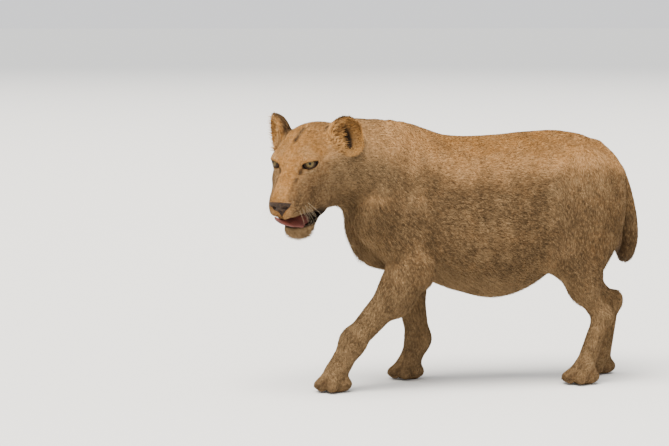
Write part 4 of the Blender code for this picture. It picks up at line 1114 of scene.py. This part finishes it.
def skin_material(look):
    made, nodes, shader = new_material("lioness_skin", {"Specular IOR Level": 0.03})
    place = object_place(nodes)
    colour = coat_colour(nodes, place, look)
    strands = nodes.noise(nodes.maths("MULTIPLY", place, (420.0, 420.0, 150.0)), 1.0, 3.0, 0.6)
    # Painted shade under the coat: the skin between the tufts is darkened towards the colour of the roots
    colour = nodes.mix(0.30 + strands * 0.25, colour, tuple(look.under))
    # The bare mask also holds the painted shadow in the ears' hollows, coloured like bare skin
    bare_skin_and_ear_shade = nodes.mask("bare_skin_and_ear_shade")
    colour = nodes.mix(bare_skin_and_ear_shade, colour, tuple(look.bare_skin_and_ear_shade))
    nodes.feed(shader, "Base Color", colour)
    nodes.feed(shader, "Roughness", 0.85 - bare_skin_and_ear_shade * 0.1)
    grain = nodes.noise(place, 900.0, 2.0)
    height = strands * (1 - bare_skin_and_ear_shade) + grain * bare_skin_and_ear_shade * 0.3
    bump = nodes.node("ShaderNodeBump", None, {"Strength": 0.6, "Distance": 0.0012, "Height": height})
    nodes.feed(shader, "Normal", bump)
    return made


def tuft_material(look):
    constants = {"Roughness": 0.8, "Specular IOR Level": 0.06}
    made, nodes, shader = new_material("lioness_coat", constants)
    colour = coat_colour(nodes, object_place(nodes), look)
    shade, tip = nodes.mask("shade"), nodes.mask("tip")
    # Painted shade deep in the coat: each tuft is darker at its root than at its tip
    colour = nodes.mix(0.26 - tip * 0.24, colour, tuple(look.under))
    lighter = nodes.mix(0.5, colour, tuple(look.pale))
    darker = nodes.mix(0.75, colour, tuple(look.grizzle_dark))
    colour = nodes.mix((shade - 0.5) * 1.2, colour, lighter)
    colour = nodes.mix((0.5 - shade) * 1.5, colour, darker)
    nodes.feed(shader, "Base Color", colour)
    return made


# ---------------------------------------------------------------- tufts
def new_tree(name, inputs):
    """A geometry tree with its named inputs, its maker, and a function that gives what an input was told."""
    tree = bpy.data.node_groups.new(name, "GeometryNodeTree")
    tree.interface.new_socket("Geometry", in_out="OUTPUT", socket_type="NodeSocketGeometry")
    for title, kind in inputs:
        tree.interface.new_socket(title, in_out="INPUT", socket_type="NodeSocket" + kind)
    nodes = Nodes(tree)
    given = nodes.node("NodeGroupInput")
    return tree, nodes, lambda title: nodes.another(given, title)


def bent(nodes, spike, fall):
    """An upright spike bent along Y by the square of the height, and that height."""
    place = nodes.node("GeometryNodeInputPosition")
    height = nodes.node("ShaderNodeSeparateXYZ", None, {"Vector": place}, "Z")
    drop = nodes.node("ShaderNodeCombineXYZ", None, {"Y": height * height * fall})
    return nodes.node("GeometryNodeSetPosition", None, {"Geometry": spike, "Offset": drop}), height


def tuft_tree(steps, bend):
    """Grows tufts on one zone of the skin: each a thin spike that lies along the coat from its root."""
    tree, nodes, told = new_tree("coat_tufts", (
        ("Geometry", "Geometry"), ("Zone", "Int"), ("Closeness", "Float"), ("Length", "Float"),
        ("Width", "Float"), ("Unevenness", "Float"), ("Seed", "Int"), ("Finish", "Material"),
    ))

    def laid(name, kind="FLOAT"):
        values = {"Name": "lay_" + name}
        return nodes.node("GeometryNodeInputNamedAttribute", {"data_type": kind}, values, "Attribute")

    def chance(low, high, number):
        values = {"Min": low, "Max": high, "Seed": told("Seed") + number}
        return nodes.node("FunctionNodeRandomValue", None, values)

    settings = {"data_type": "INT", "operation": "EQUAL"}
    own = nodes.node("FunctionNodeCompare", settings, {"A": laid("zone", "INT"), "B": told("Zone")})
    values = {
        "Mesh": told("Geometry"), "Selection": own, "Density": laid("close") * told("Closeness"),
        "Seed": told("Seed"),
    }
    points = nodes.node("GeometryNodeDistributePointsOnFaces", None, values)
    normal = nodes.another(points, "Normal")
    way = laid("way", "FLOAT_VECTOR")
    across = nodes.node("ShaderNodeVectorMath", {"operation": "CROSS_PRODUCT"}, {0: way, 1: normal})
    uneven = told("Unevenness")
    aim = way + normal * (laid("lift") * chance(0.6, 1.5, 1)) + across * (chance(-1.0, 1.0, 2) * uneven)
    settings = {"primary_axis": "Z", "secondary_axis": "Y"}
    turn = nodes.node("FunctionNodeAxesToRotation", settings, {"Primary Axis": aim, "Secondary Axis": normal})
    wide = laid("wide") * told("Width") * chance(0.7, 1.3, 3)
    long = laid("long") * told("Length") * chance(0.65, 1.25, 4)
    size = nodes.node("ShaderNodeCombineXYZ", None, {"X": wide * 0.58, "Y": wide * 0.30, "Z": long})
    values = {"Vertices": 3, "Side Segments": steps, "Radius Top": 0.0, "Radius Bottom": 1.0, "Depth": 1.0}
    spike = nodes.node("GeometryNodeMeshCone", {"fill_type": "NGON"}, values)
    spike = nodes.node("GeometryNodeTransform", None, {"Geometry": spike, "Rotation": (0, 0, math.pi / 2)})
    spike, height = bent(nodes, spike, -bend)
    spike = store(nodes, spike, "tip", height, "FLOAT", "POINT")
    place = nodes.node("GeometryNodeInputPosition")
    parts = nodes.node("ShaderNodeSeparateXYZ", None, {"Vector": place})
    x, y, z = (nodes.another(parts, name) for name in "XYZ")
    values = {"X": (x + y * 0.4) * PATCH * 0.5, "Y": (z + y * 0.2) * PATCH}
    flat = nodes.node("ShaderNodeCombineXYZ", None, values)
    spike = store(nodes, spike, "lay_patch", flat, "FLOAT_VECTOR", "POINT")
    values = {"Points": points, "Instance": spike, "Rotation": turn, "Scale": size}
    tufts = nodes.node("GeometryNodeInstanceOnPoints", None, values)
    locks = nodes.noise(nodes.node("GeometryNodeInputPosition"), 150.0, 1.0).within(0.36, 0.64)
    tufts = store(nodes, tufts, "shade", locks * 0.65 + chance(0.0, 0.35, 5), "FLOAT", "INSTANCE")
    tufts = nodes.node("GeometryNodeRealizeInstances", None, {"Geometry": tufts})
    spread = laid("unwrap", "FLOAT_VECTOR") + laid("patch", "FLOAT_VECTOR")
    tufts = store(nodes, tufts, "OFBake", spread, "FLOAT2", "CORNER")
    values = {"Geometry": tufts, "Name": "lay_*"}
    tufts = nodes.node("GeometryNodeRemoveAttribute", {"pattern_mode": "WILDCARD"}, values)
    tufts = nodes.node("GeometryNodeSetMaterial", None, {"Geometry": tufts, "Material": told("Finish")})
    nodes.node("NodeGroupOutput", None, {"Geometry": tufts})
    return tree


def store(nodes, geometry, name, value, kind, domain):
    settings = {"data_type": kind, "domain": domain}
    values = {"Geometry": geometry, "Name": name, "Value": value}
    return nodes.node("GeometryNodeStoreNamedAttribute", settings, values)


def grow(skin_object, name, tree, inputs, finish):
    """Runs a tree on a copy of an object's mesh and gives back what grows as a plain mesh of its own."""
    carrier = bpy.data.objects.new(name + "_carrier", skin_object.data)
    bpy.context.scene.collection.objects.link(carrier)
    grower = carrier.modifiers.new("tufts", "NODES")
    grower.node_group = tree
    for item in tree.interface.items_tree:
        if item.in_out == "INPUT" and item.name in inputs:
            grower[item.identifier] = inputs[item.name]
    graph = bpy.context.evaluated_depsgraph_get()
    mesh = bpy.data.meshes.new_from_object(carrier.evaluated_get(graph))
    bpy.data.objects.remove(carrier)
    return place_object(name, mesh, finish)


# ---------------------------------------------------------------- what a user would change
def colour_prop(name, description, value):
    return FloatVectorProperty(
        name=name, description=description, default=value, subtype="COLOR", min=0, max=1
    )


def length_prop(name, description, value):
    return FloatProperty(name=name, description=description, default=value, unit="LENGTH", min=0)


def number_prop(name, description, value, least=0):
    return FloatProperty(name=name, description=description, default=value, min=least)


class LionessCoatSettings(PropertyGroup):
    skin_cell: length_prop("Skin cell", "Size of the skin's net on the body", 0.0076)
    length: number_prop("Length", "Tuft length against the usual", 1.0, 0.1)
    width: number_prop("Width", "Tuft width against the usual", 1.0, 0.1)
    closeness: number_prop("Closeness", "How many tufts against the usual", 1.0, 0.01)
    unevenness: number_prop("Unevenness", "How far tufts stray from the lie", 0.28)
    seed: IntProperty(name="Seed", description="Number that the scatter of tufts starts from", default=7)
    # Back, khaki and flank run from her top down her sides: the flank's grey gold is darkened with painted
    # shade
    back: colour_prop("Back", "Gold of the back and the top of the head", (0.37, 0.160, 0.034))
    khaki: colour_prop("Khaki", "Paler gold between the back and the flanks", (0.520, 0.275, 0.108))
    shaded_flank: colour_prop("Flank", "Grey gold of the flanks and legs", (0.078, 0.048, 0.024))
    pale: colour_prop("Pale", "Chin, lips and under the eyes", (0.40, 0.26, 0.130))
    ochre: colour_prop("Ochre", "Hairs at the edge of the ears", (0.62, 0.29, 0.070))
    grizzle: colour_prop("Grizzle", "Greyer hairs mixed in", (0.095, 0.060, 0.032))
    grizzle_dark: colour_prop("Dark hairs", "Darker hairs mixed in", (0.042, 0.025, 0.012))
    # Also painted as the shade between the toes and the shadow in the ears' hollows
    dark: colour_prop("Dark", "Tail tuft, backs of the ears and face marks", (0.035, 0.020, 0.011))
    # Darkens the skin and the tufts' roots as painted shade deep in the coat
    under: colour_prop("Under coat", "Roots of the coat", (0.070, 0.040, 0.018))
    # Also painted as the shadow in the ears' hollows
    bare_skin_and_ear_shade: colour_prop("Bare skin", "Rims of the eyes and lips", (0.007, 0.005, 0.004))


class LionessFaceSettings(PropertyGroup):
    iris: colour_prop("Iris", "Colour of the eyes", (0.150, 0.104, 0.042))
    iris_rim: colour_prop("Iris rim", "Colour round the pupil's edge", (0.036, 0.026, 0.010))
    eye_white: colour_prop("White of the eye", "Colour of the eye beyond the iris", (0.030, 0.018, 0.012))
    nose: colour_prop("Nose", "Leather of the nose", (0.020, 0.012, 0.008))
    tongue: colour_prop("Tongue", "Colour of the tongue", (0.105, 0.026, 0.018))
    whisker_length: length_prop("Whisker length", "Longest whisker", 0.13)
    whisker: colour_prop("Whiskers", "Colour of the whiskers", (0.60, 0.48, 0.32))


class LionessStageSettings(PropertyGroup):
    floor: colour_prop("Floor", "Colour of the floor", (0.66, 0.655, 0.645))
    far_floor: colour_prop("Far floor", "Colour of the floor by the surround", (0.30, 0.31, 0.325))
    overhead: number_prop("Overhead", "Strength of the soft light from above", 10.0)
    fill_power: number_prop("Fill", "Power of the light by the camera, in watts", 60.0)
    surround: number_prop("Surround", "Strength of the light all round", 1.2)


# ---------------------------------------------------------------- pieces
FLESH = (
    "head", "jaw", "ear_left", "ear_right", "neck", "trunk", "tail_base", "tail_middle", "tail_tip",
    "foreleg_left_upper", "foreleg_left_lower", "foreleg_left_paw",
    "foreleg_right_upper", "foreleg_right_lower", "foreleg_right_paw",
    "hindleg_left_upper", "hindleg_left_lower", "hindleg_left_paw",
    "hindleg_right_upper", "hindleg_right_lower", "hindleg_right_paw",
)


def eye_place(side):
    return np.array(EYES_MID) + HEAD_TURN @ np.array((EYE[0], -side * EYE[1], EYE[2])) * CM


def shift():
    """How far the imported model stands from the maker's frame, from where its left eye came to lie."""
    low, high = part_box("eye_left")
    return (np.array(low) + np.array(high)) / 2 - eye_place(LEFT)


def write_attribute(mesh, name, kind, domain, values):
    made = mesh.attributes.new(name, kind, domain)
    key = {"FLOAT_VECTOR": "vector", "FLOAT2": "vector"}.get(kind, "value")
    form = np.int32 if kind == "INT" else np.float32
    made.data.foreach_set(key, np.ascontiguousarray(values, form).ravel())


def unwrap_zones(skin_object, zones):
    """Lays each zone of the skin out flat on a square of its own, in the skin's map named lay_unwrap."""
    mesh = skin_object.data
    mesh.uv_layers.new(name="lay_unwrap")
    bpy.ops.object.select_all(action="DESELECT")
    skin_object.select_set(True)
    bpy.context.view_layer.objects.active = skin_object
    for zone in range(len(ZONES)):
        bpy.ops.object.mode_set(mode="EDIT")
        bpy.ops.mesh.select_all(action="DESELECT")
        bpy.ops.object.mode_set(mode="OBJECT")
        mesh.polygons.foreach_set("select", zones == zone)
        bpy.ops.object.mode_set(mode="EDIT")
        bpy.ops.mesh.select_mode(type="FACE")
        bpy.ops.uv.smart_project(angle_limit=1.15, island_margin=0.004, scale_to_bounds=True)
        bpy.ops.object.mode_set(mode="OBJECT")


class LIONESS_OT_skin(Operator):
    """Make the one skin that covers head, body, legs and tail"""

    bl_idname = "lioness.skin"
    bl_label = "Skin"

    def execute(self, context):
        look = context.scene.lioness_coat
        mesh = make_skin_mesh(look.skin_cell)
        places, normals = corners_of(mesh), normals_of(mesh)
        part, shares = nearest_part(places)
        marks = markings(places, normals, shares)
        zone = zone_of(places, part, marks)
        for name, values in marks.items():
            write_attribute(mesh, name, "FLOAT", "POINT", values)
        for name, values in coat_sizes(places, normals, shares, marks).items():
            write_attribute(mesh, "lay_" + name, "FLOAT", "POINT", values)
        write_attribute(mesh, "lay_way", "FLOAT_VECTOR", "POINT", lie_of(places, normals, shares))
        starts = np.empty(len(mesh.polygons), np.int32)
        mesh.polygons.foreach_get("loop_start", starts)
        ring = np.empty(len(mesh.loops), np.int32)
        mesh.loops.foreach_get("vertex_index", ring)
        zones = zone[ring[starts]]
        write_attribute(mesh, "lay_zone", "INT", "FACE", zones)
        mesh.vertices.foreach_set("co", (places + shift()).astype(np.float32).ravel())
        mesh.update()
        made = place_object("skin", mesh, skin_material(look))
        unwrap_zones(made, zones)
        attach(made, "root")
        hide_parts(*FLESH)
        return {"FINISHED"}


class LIONESS_OT_coat(Operator):
    """Grow the coat's tufts over the skin, one piece for each zone"""

    bl_idname = "lioness.coat"
    bl_label = "Coat"

    def execute(self, context):
        look = context.scene.lioness_coat
        carrier = bpy.data.objects["skin"]
        finish = tuft_material(look)
        short = tuft_tree(steps=1, bend=0.35)
        curved = tuft_tree(steps=2, bend=0.35)
        for number, zone in enumerate(ZONES):
            tree = curved if zone in ("ears", "tail") else short
            inputs = {
                "Zone": number, "Closeness": look.closeness, "Length": look.length, "Width": look.width,
                "Unevenness": look.unevenness, "Seed": look.seed + 10 * number, "Finish": finish,
            }
            piece = grow(carrier, "coat_" + zone, tree, inputs, finish)
            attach(piece, "root")
        for name in [a.name for a in carrier.data.attributes if a.name.startswith("lay_")]:
            carrier.data.attributes.remove(carrier.data.attributes[name])
        return {"FINISHED"}


def eye_mesh(centre, gaze, radius):
    """An eyeball of rings round its gaze, bulging at the front, and where each corner lies on it."""
    gaze = unit(np.array(gaze, float))
    side = unit(np.cross(gaze, (0, 0, 1)))
    top = np.cross(side, gaze)
    angles = np.concatenate((np.linspace(0.0, 0.7, 22)[1:], np.linspace(0.7, math.pi, 20)[1:-1]))
    count = 48
    corners = [np.array(centre) + gaze * radius * (1 + EYE_BULGE)]
    rings, spokes = [0.0], [(0.0, 0.0, 0.0)]
    for angle in angles:
        bulge = 1 + EYE_BULGE * float(1 - ramp(np.array(angle), 0.25, 0.60))
        for step in range(count):
            turn = 2 * math.pi * step / count
            way = side * math.cos(turn) + top * math.sin(turn)
            out = gaze * math.cos(angle) + way * math.sin(angle)
            corners.append(np.array(centre) + radius * bulge * out)
            rings.append(angle)
            spokes.append((math.cos(turn), math.sin(turn), 0.15 * angle))
    corners.append(np.array(centre) - gaze * radius)
    rings.append(math.pi)
    spokes.append((0.0, 0.0, 0.0))
    faces = [(0, 1 + step, 1 + (step + 1) % count) for step in range(count)]
    for row in range(len(angles) - 1):
        a, b = 1 + row * count, 1 + (row + 1) * count
        faces += [(a + s, b + s, b + (s + 1) % count, a + (s + 1) % count) for s in range(count)]
    last, end = 1 + (len(angles) - 1) * count, len(corners) - 1
    faces += [(last + (s + 1) % count, last + s, end) for s in range(count)]
    mesh = bpy.data.meshes.new("eye")
    mesh.from_pydata([tuple(c) for c in corners], [], faces)
    work = bmesh.new()
    work.from_mesh(mesh)
    bmesh.ops.recalc_face_normals(work, faces=work.faces)
    work.to_mesh(mesh)
    work.free()
    write_attribute(mesh, "ring", "FLOAT", "POINT", rings)
    write_attribute(mesh, "spoke", "FLOAT_VECTOR", "POINT", spokes)
    return mesh


def eye_material(look):
    constants = {"Roughness": 0.4, "Coat Weight": 0.07, "Coat Roughness": 0.04, "Specular IOR Level": 0.05}
    made, nodes, shader = new_material("lioness_eye", constants)
    ring = nodes.mask("ring")
    spoke = nodes.node("ShaderNodeAttribute", {"attribute_name": "spoke"}, give="Vector")
    streaks = nodes.noise(spoke, 14.0, 3.0, 0.7)
    iris = nodes.mix(streaks.within(0.3, 0.75), tuple(look.iris_rim), tuple(look.iris))
    iris = nodes.mix(ring.within(*IRIS_EDGE), iris, tuple(0.25 * c for c in look.iris_rim))
    colour = nodes.mix(ring.within(*WHITE_EDGE), iris, tuple(look.eye_white))
    colour = nodes.mix(1 - ring.within(*PUPIL_EDGE), colour, (0.003, 0.003, 0.003))
    nodes.feed(shader, "Base Color", colour)
    return made


class LIONESS_OT_eyes(Operator):
    """Make both eyes"""

    bl_idname = "lioness.eyes"
    bl_label = "Eyes"

    def execute(self, context):
        finish = eye_material(context.scene.lioness_face)
        for side, name in ((LEFT, "eye_left"), (RIGHT, "eye_right")):
            low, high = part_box(name)
            centre = (np.array(low) + np.array(high)) / 2
            gaze = HEAD_TURN @ np.array((GAZE[0], -side * GAZE[1], GAZE[2]))
            made = place_object(name + "_ball", eye_mesh(centre, gaze, EYE_RADIUS * CM * EYE_SHOWN), finish)
            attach(made, "root")
            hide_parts(name)
        return {"FINISHED"}


def nose_leather(p):
    """The leather cap of the nose: as wide as the nostrils above, narrowed to the groove below."""
    q = head_places(p)
    wide = np.interp(q[:, 2], (-9.6, -8.6, -7.5, -6.3, -5.2), (0.2, 0.4, 1.3, 2.7, 3.4))
    across = (np.abs(q[:, 1]) - wide) * 0.8
    back = 0.8 * (q[:, 2] + 4.75) - 0.6 * (q[:, 0] - 12.15)
    region = blend(-np.minimum(-across, -back), np.full(len(q), 9.0), 0.1)
    return np.maximum(head(p, ears=False) + NOSE_DEPTH, region * CM)


def nose_material(look):
    constants = {"Specular IOR Level": 0.12, "Coat Weight": 0.03, "Coat Roughness": 0.3}
    made, nodes, shader = new_material("lioness_nose", constants)
    place = object_place(nodes)
    cells = nodes.node("ShaderNodeTexVoronoi", None, {"Vector": place, "Scale": 900.0}, "Distance")
    broad = nodes.noise(place, 120.0)
    colour = nodes.mix(broad.within(0.35, 0.7), tuple(look.nose), tuple(2.2 * c for c in look.nose))
    nodes.feed(shader, "Base Color", colour)
    nodes.feed(shader, "Roughness", 0.55 + broad * 0.2)
    bump = nodes.node("ShaderNodeBump", None, {"Strength": 0.5, "Distance": 0.0005, "Height": cells})
    nodes.feed(shader, "Normal", bump)
    return made


def netted(name, shape, low, high, cell):
    """A small piece netted finely from its shape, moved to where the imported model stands."""
    corners, faces = net(*grid_values(shape, low, high, cell, jump=2))
    return mesh_of(name, settle(corners, shape, reach=0.001) + shift(), faces)


class LIONESS_OT_nose(Operator):
    """Make the nose leather"""

    bl_idname = "lioness.nose"
    bl_label = "Nose"

    def execute(self, context):
        mesh = netted("nose", nose_leather, NOSE_LOW, NOSE_HIGH, NOSE_CELL)
        made = place_object("nose_leather", mesh, nose_material(context.scene.lioness_face))
        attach(made, "root")
        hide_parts("nose")
        return {"FINISHED"}


def tongue_material(look):
    constants = {"Specular IOR Level": 0.25, "Coat Weight": 0.12, "Coat Roughness": 0.2}
    made, nodes, shader = new_material("lioness_tongue", constants)
    place = object_place(nodes)
    bumps = nodes.node("ShaderNodeTexVoronoi", None, {"Vector": place, "Scale": 700.0}, "Distance")
    broad = nodes.noise(place, 60.0)
    colour = nodes.mix(broad.within(0.3, 0.7), tuple(look.tongue), tuple(0.7 * c for c in look.tongue))
    # Painted shadow of the mouth: the tongue turns near black towards its root
    colour = nodes.mix(nodes.mask("root") * 0.92, colour, tuple(0.06 * c for c in look.tongue))
    nodes.feed(shader, "Base Color", colour)
    nodes.feed(shader, "Roughness", 0.45 + bumps * 0.2)
    bump = nodes.node("ShaderNodeBump", None, {"Strength": 0.6, "Distance": 0.0008, "Height": 1 - bumps})
    nodes.feed(shader, "Normal", bump)
    return made


class LIONESS_OT_tongue(Operator):
    """Make the tongue"""

    bl_idname = "lioness.tongue"
    bl_label = "Tongue"

    def execute(self, context):
        mesh = netted("tongue", tongue, TONGUE_LOW, TONGUE_HIGH, TONGUE_CELL)
        ahead = head_places(corners_of(mesh) - shift())[:, 0]
        # The root mask sets where the mouth's painted shadow falls on the tongue
        write_attribute(mesh, "root", "FLOAT", "POINT", 1 - ramp(ahead, 2.5, 6.5))
        made = place_object("tongue_licking", mesh, tongue_material(context.scene.lioness_face))
        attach(made, "root")
        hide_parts("tongue")
        return {"FINISHED"}


def whisker_tree():
    """Stands a long curved bristle on each point, along its own aim."""
    tree, nodes, told = new_tree("whiskers", (
        ("Geometry", "Geometry"), ("Thickness", "Float"), ("Bend", "Float"), ("Finish", "Material"),
    ))
    values = {
        "Vertices": 5, "Side Segments": 10, "Radius Top": 0.0, "Depth": 1.0,
        "Radius Bottom": told("Thickness"),
    }
    bristle = nodes.node("GeometryNodeMeshCone", {"fill_type": "NGON"}, values)
    bristle, _ = bent(nodes, bristle, told("Bend"))
    aim, long = (
        nodes.node("GeometryNodeInputNamedAttribute", {"data_type": kind}, {"Name": name}, "Attribute")
        for name, kind in (("aim", "FLOAT_VECTOR"), ("long", "FLOAT"))
    )
    settings = {"primary_axis": "Z", "secondary_axis": "Y"}
    values = {"Primary Axis": aim, "Secondary Axis": (0.0, 0.0, -1.0)}
    turn = nodes.node("FunctionNodeAxesToRotation", settings, values)
    size = nodes.node("ShaderNodeCombineXYZ", None, {"X": long, "Y": long, "Z": long})
    values = {"Points": told("Geometry"), "Instance": bristle, "Rotation": turn, "Scale": size}
    made = nodes.node("GeometryNodeInstanceOnPoints", None, values)
    made = nodes.node("GeometryNodeRealizeInstances", None, {"Geometry": made})
    made = nodes.node("GeometryNodeSetMaterial", None, {"Geometry": made, "Material": told("Finish")})
    nodes.node("NodeGroupOutput", None, {"Geometry": made})
    return tree


def whisker_material(look):
    made, nodes, shader = new_material("lioness_whisker", {"Roughness": 0.4, "Specular IOR Level": 0.4})
    waves = nodes.noise(object_place(nodes), 60.0)
    colour = nodes.mix(waves.within(0.35, 0.7), tuple(look.whisker), tuple(0.72 * c for c in look.whisker))
    nodes.feed(shader, "Base Color", colour)
    return made


class LIONESS_OT_whiskers(Operator):
    """Set the whiskers in the pads of the muzzle and over the eyes"""

    bl_idname = "lioness.whiskers"
    bl_label = "Whiskers"

    def execute(self, context):
        look = context.scene.lioness_face
        roots, aims, lengths = [], [], []
        dice = np.random.default_rng(5)
        for side in (LEFT, RIGHT):
            for row in range(3):
                for place in range(4):
                    local = whisker_root(row + 0.5, place + 0.5)
                    aim = np.array((0.16 - 0.09 * place, 0.52, -0.80 - 0.10 * row)) + dice.normal(0, 0.10, 3)
                    share = (0.45 + 0.14 * place) * (1 - 0.08 * row) * dice.uniform(0.8, 1.0)
                    roots.append((local[0], -side * local[1], local[2]))
                    aims.append((aim[0], -side * aim[1], aim[2]))
                    lengths.append(look.whisker_length * min(share, 1.0))
            for number in range(3):
                roots.append((2.4, -side * (3.2 + 0.5 * number), 2.4))
                aims.append((0.5, -side * (0.3 + 0.25 * number), 0.9))
                lengths.append(look.whisker_length * 0.42)
        places = np.array(EYES_MID) + np.array(roots) @ HEAD_TURN.T * CM
        places = settle(places, skin, rounds=8, reach=0.004)
        mesh = bpy.data.meshes.new("whisker_roots")
        mesh.from_pydata([tuple(v) for v in places + shift()], [], [])
        write_attribute(mesh, "aim", "FLOAT_VECTOR", "POINT", np.array(aims) @ HEAD_TURN.T)
        write_attribute(mesh, "long", "FLOAT", "POINT", lengths)
        finish = whisker_material(look)
        rooted = bpy.data.objects.new("whisker_roots", mesh)
        inputs = {"Thickness": WHISKER_THICK, "Bend": WHISKER_BEND, "Finish": finish}
        made = grow(rooted, "whiskers", whisker_tree(), inputs, finish)
        bpy.data.objects.remove(rooted)
        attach(made, "root")
        return {"FINISHED"}


# ---------------------------------------------------------------- the studio
def place_light(lamp, place, aim):
    made = bpy.data.objects.new(lamp.name, lamp)
    made.location = place
    made.rotation_euler = (Vector(aim) - Vector(place)).to_track_quat("-Z", "Y").to_euler()
    bpy.context.scene.collection.objects.link(made)


def floor_material(look):
    """A pale floor that darkens far away towards the brightness of the surround."""
    made, nodes, shader = new_material("studio_floor", {"Roughness": 0.95, "Specular IOR Level": 0.0})
    place = object_place(nodes)
    away = nodes.node("ShaderNodeVectorMath", {"operation": "LENGTH"}, {"Vector": place}, "Value")
    near, far = tuple(look.floor), tuple(look.far_floor)
    nodes.feed(shader, "Base Color", nodes.mix(away.within(1.0, 60.0), near, far))
    return made


def make_floor(look):
    corners = [(x * FLOOR_HALF, y * FLOOR_HALF, 0) for x, y in ((-1, -1), (1, -1), (1, 1), (-1, 1))]
    mesh = bpy.data.meshes.new("studio_floor")
    mesh.from_pydata(corners, [], [(0, 1, 2, 3)])
    return place_object("studio_floor", mesh, floor_material(look))


def make_lights(look, middle):
    """A broad warm light from above and a soft one beside the camera."""
    overhead = bpy.data.lights.new("studio_overhead", "SUN")
    overhead.energy = look.overhead
    overhead.angle = OVERHEAD_SPREAD
    overhead.color = (1.0, 0.95, 0.86)
    place_light(overhead, middle + Vector(OVERHEAD_FROM), middle)
    fill = bpy.data.lights.new("studio_fill", "AREA")
    fill.shape = "RECTANGLE"
    fill.size, fill.size_y = FILL_SIZE
    fill.energy = look.fill_power
    fill.color = (1.0, 0.97, 0.93)
    place_light(fill, middle + Vector(FILL_FROM), middle)


def make_surround(look):
    """An even light from all round."""
    world = bpy.data.worlds.new("studio_surround")
    world.use_nodes = True
    sky = world.node_tree.nodes["Background"]
    sky.inputs["Color"].default_value = (0.96, 0.965, 0.98, 1)
    sky.inputs["Strength"].default_value = look.surround
    return world


def make_camera(middle):
    """A camera far off and a little above her, looking level with her side."""
    level = Vector((math.sin(CAMERA_TURN), -math.cos(CAMERA_TURN), 0))
    back = level * math.cos(CAMERA_RISE) + Vector((0, 0, math.sin(CAMERA_RISE)))
    lens = bpy.data.cameras.new("studio_camera")
    lens.sensor_width = SENSOR
    lens.lens = SENSOR * CAMERA_AWAY / VIEW_WIDTH
    camera = bpy.data.objects.new("studio_camera", lens)
    camera.location = middle + Vector(CAMERA_AIM) + back * CAMERA_AWAY
    camera.rotation_euler = back.to_track_quat("Z", "Y").to_euler()
    bpy.context.scene.collection.objects.link(camera)
    return camera


class LIONESS_OT_stage(Operator):
    """Make the floor, the lights and the camera"""

    bl_idname = "lioness.stage"
    bl_label = "Studio"

    def execute(self, context):
        look = context.scene.lioness_stage
        low, high = (np.array(corner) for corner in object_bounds())
        middle = Vector((low + high) / 2)
        floor = make_floor(look)
        floor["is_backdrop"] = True
        make_lights(look, middle)
        context.scene.world = make_surround(look)
        context.scene.camera = make_camera(middle)
        return {"FINISHED"}


class LIONESS_PT_panel(Panel):
    """Lists the lioness's pieces and sizes"""

    bl_idname = "LIONESS_PT_panel"
    bl_label = "Lioness"
    bl_space_type = "VIEW_3D"
    bl_region_type = "UI"
    bl_category = "Lioness"

    def draw(self, context):
        layout = self.layout
        for operator in OPERATORS:
            layout.operator(operator.bl_idname)
        for settings in (context.scene.lioness_coat, context.scene.lioness_face, context.scene.lioness_stage):
            box = layout.box()
            for name in settings.__annotations__:
                box.prop(settings, name)


SETTINGS = (LionessCoatSettings, LionessFaceSettings, LionessStageSettings)
OPERATORS = (
    LIONESS_OT_skin, LIONESS_OT_coat, LIONESS_OT_eyes, LIONESS_OT_nose, LIONESS_OT_tongue,
    LIONESS_OT_whiskers, LIONESS_OT_stage,
)


def register():
    for group in (*SETTINGS, *OPERATORS, LIONESS_PT_panel):
        bpy.utils.register_class(group)
    bpy.types.Scene.lioness_coat = PointerProperty(type=LionessCoatSettings)
    bpy.types.Scene.lioness_face = PointerProperty(type=LionessFaceSettings)
    bpy.types.Scene.lioness_stage = PointerProperty(type=LionessStageSettings)


def unregister():
    for name in ("lioness_coat", "lioness_face", "lioness_stage"):
        delattr(bpy.types.Scene, name)
    for group in reversed((*SETTINGS, *OPERATORS, LIONESS_PT_panel)):
        bpy.utils.unregister_class(group)


def main():
    register()
    bpy.ops.lioness.stage()
    bpy.ops.lioness.skin()
    bpy.ops.lioness.coat()
    bpy.ops.lioness.eyes()
    bpy.ops.lioness.nose()
    bpy.ops.lioness.tongue()
    bpy.ops.lioness.whiskers()


if __name__ == "__main__":
    main()
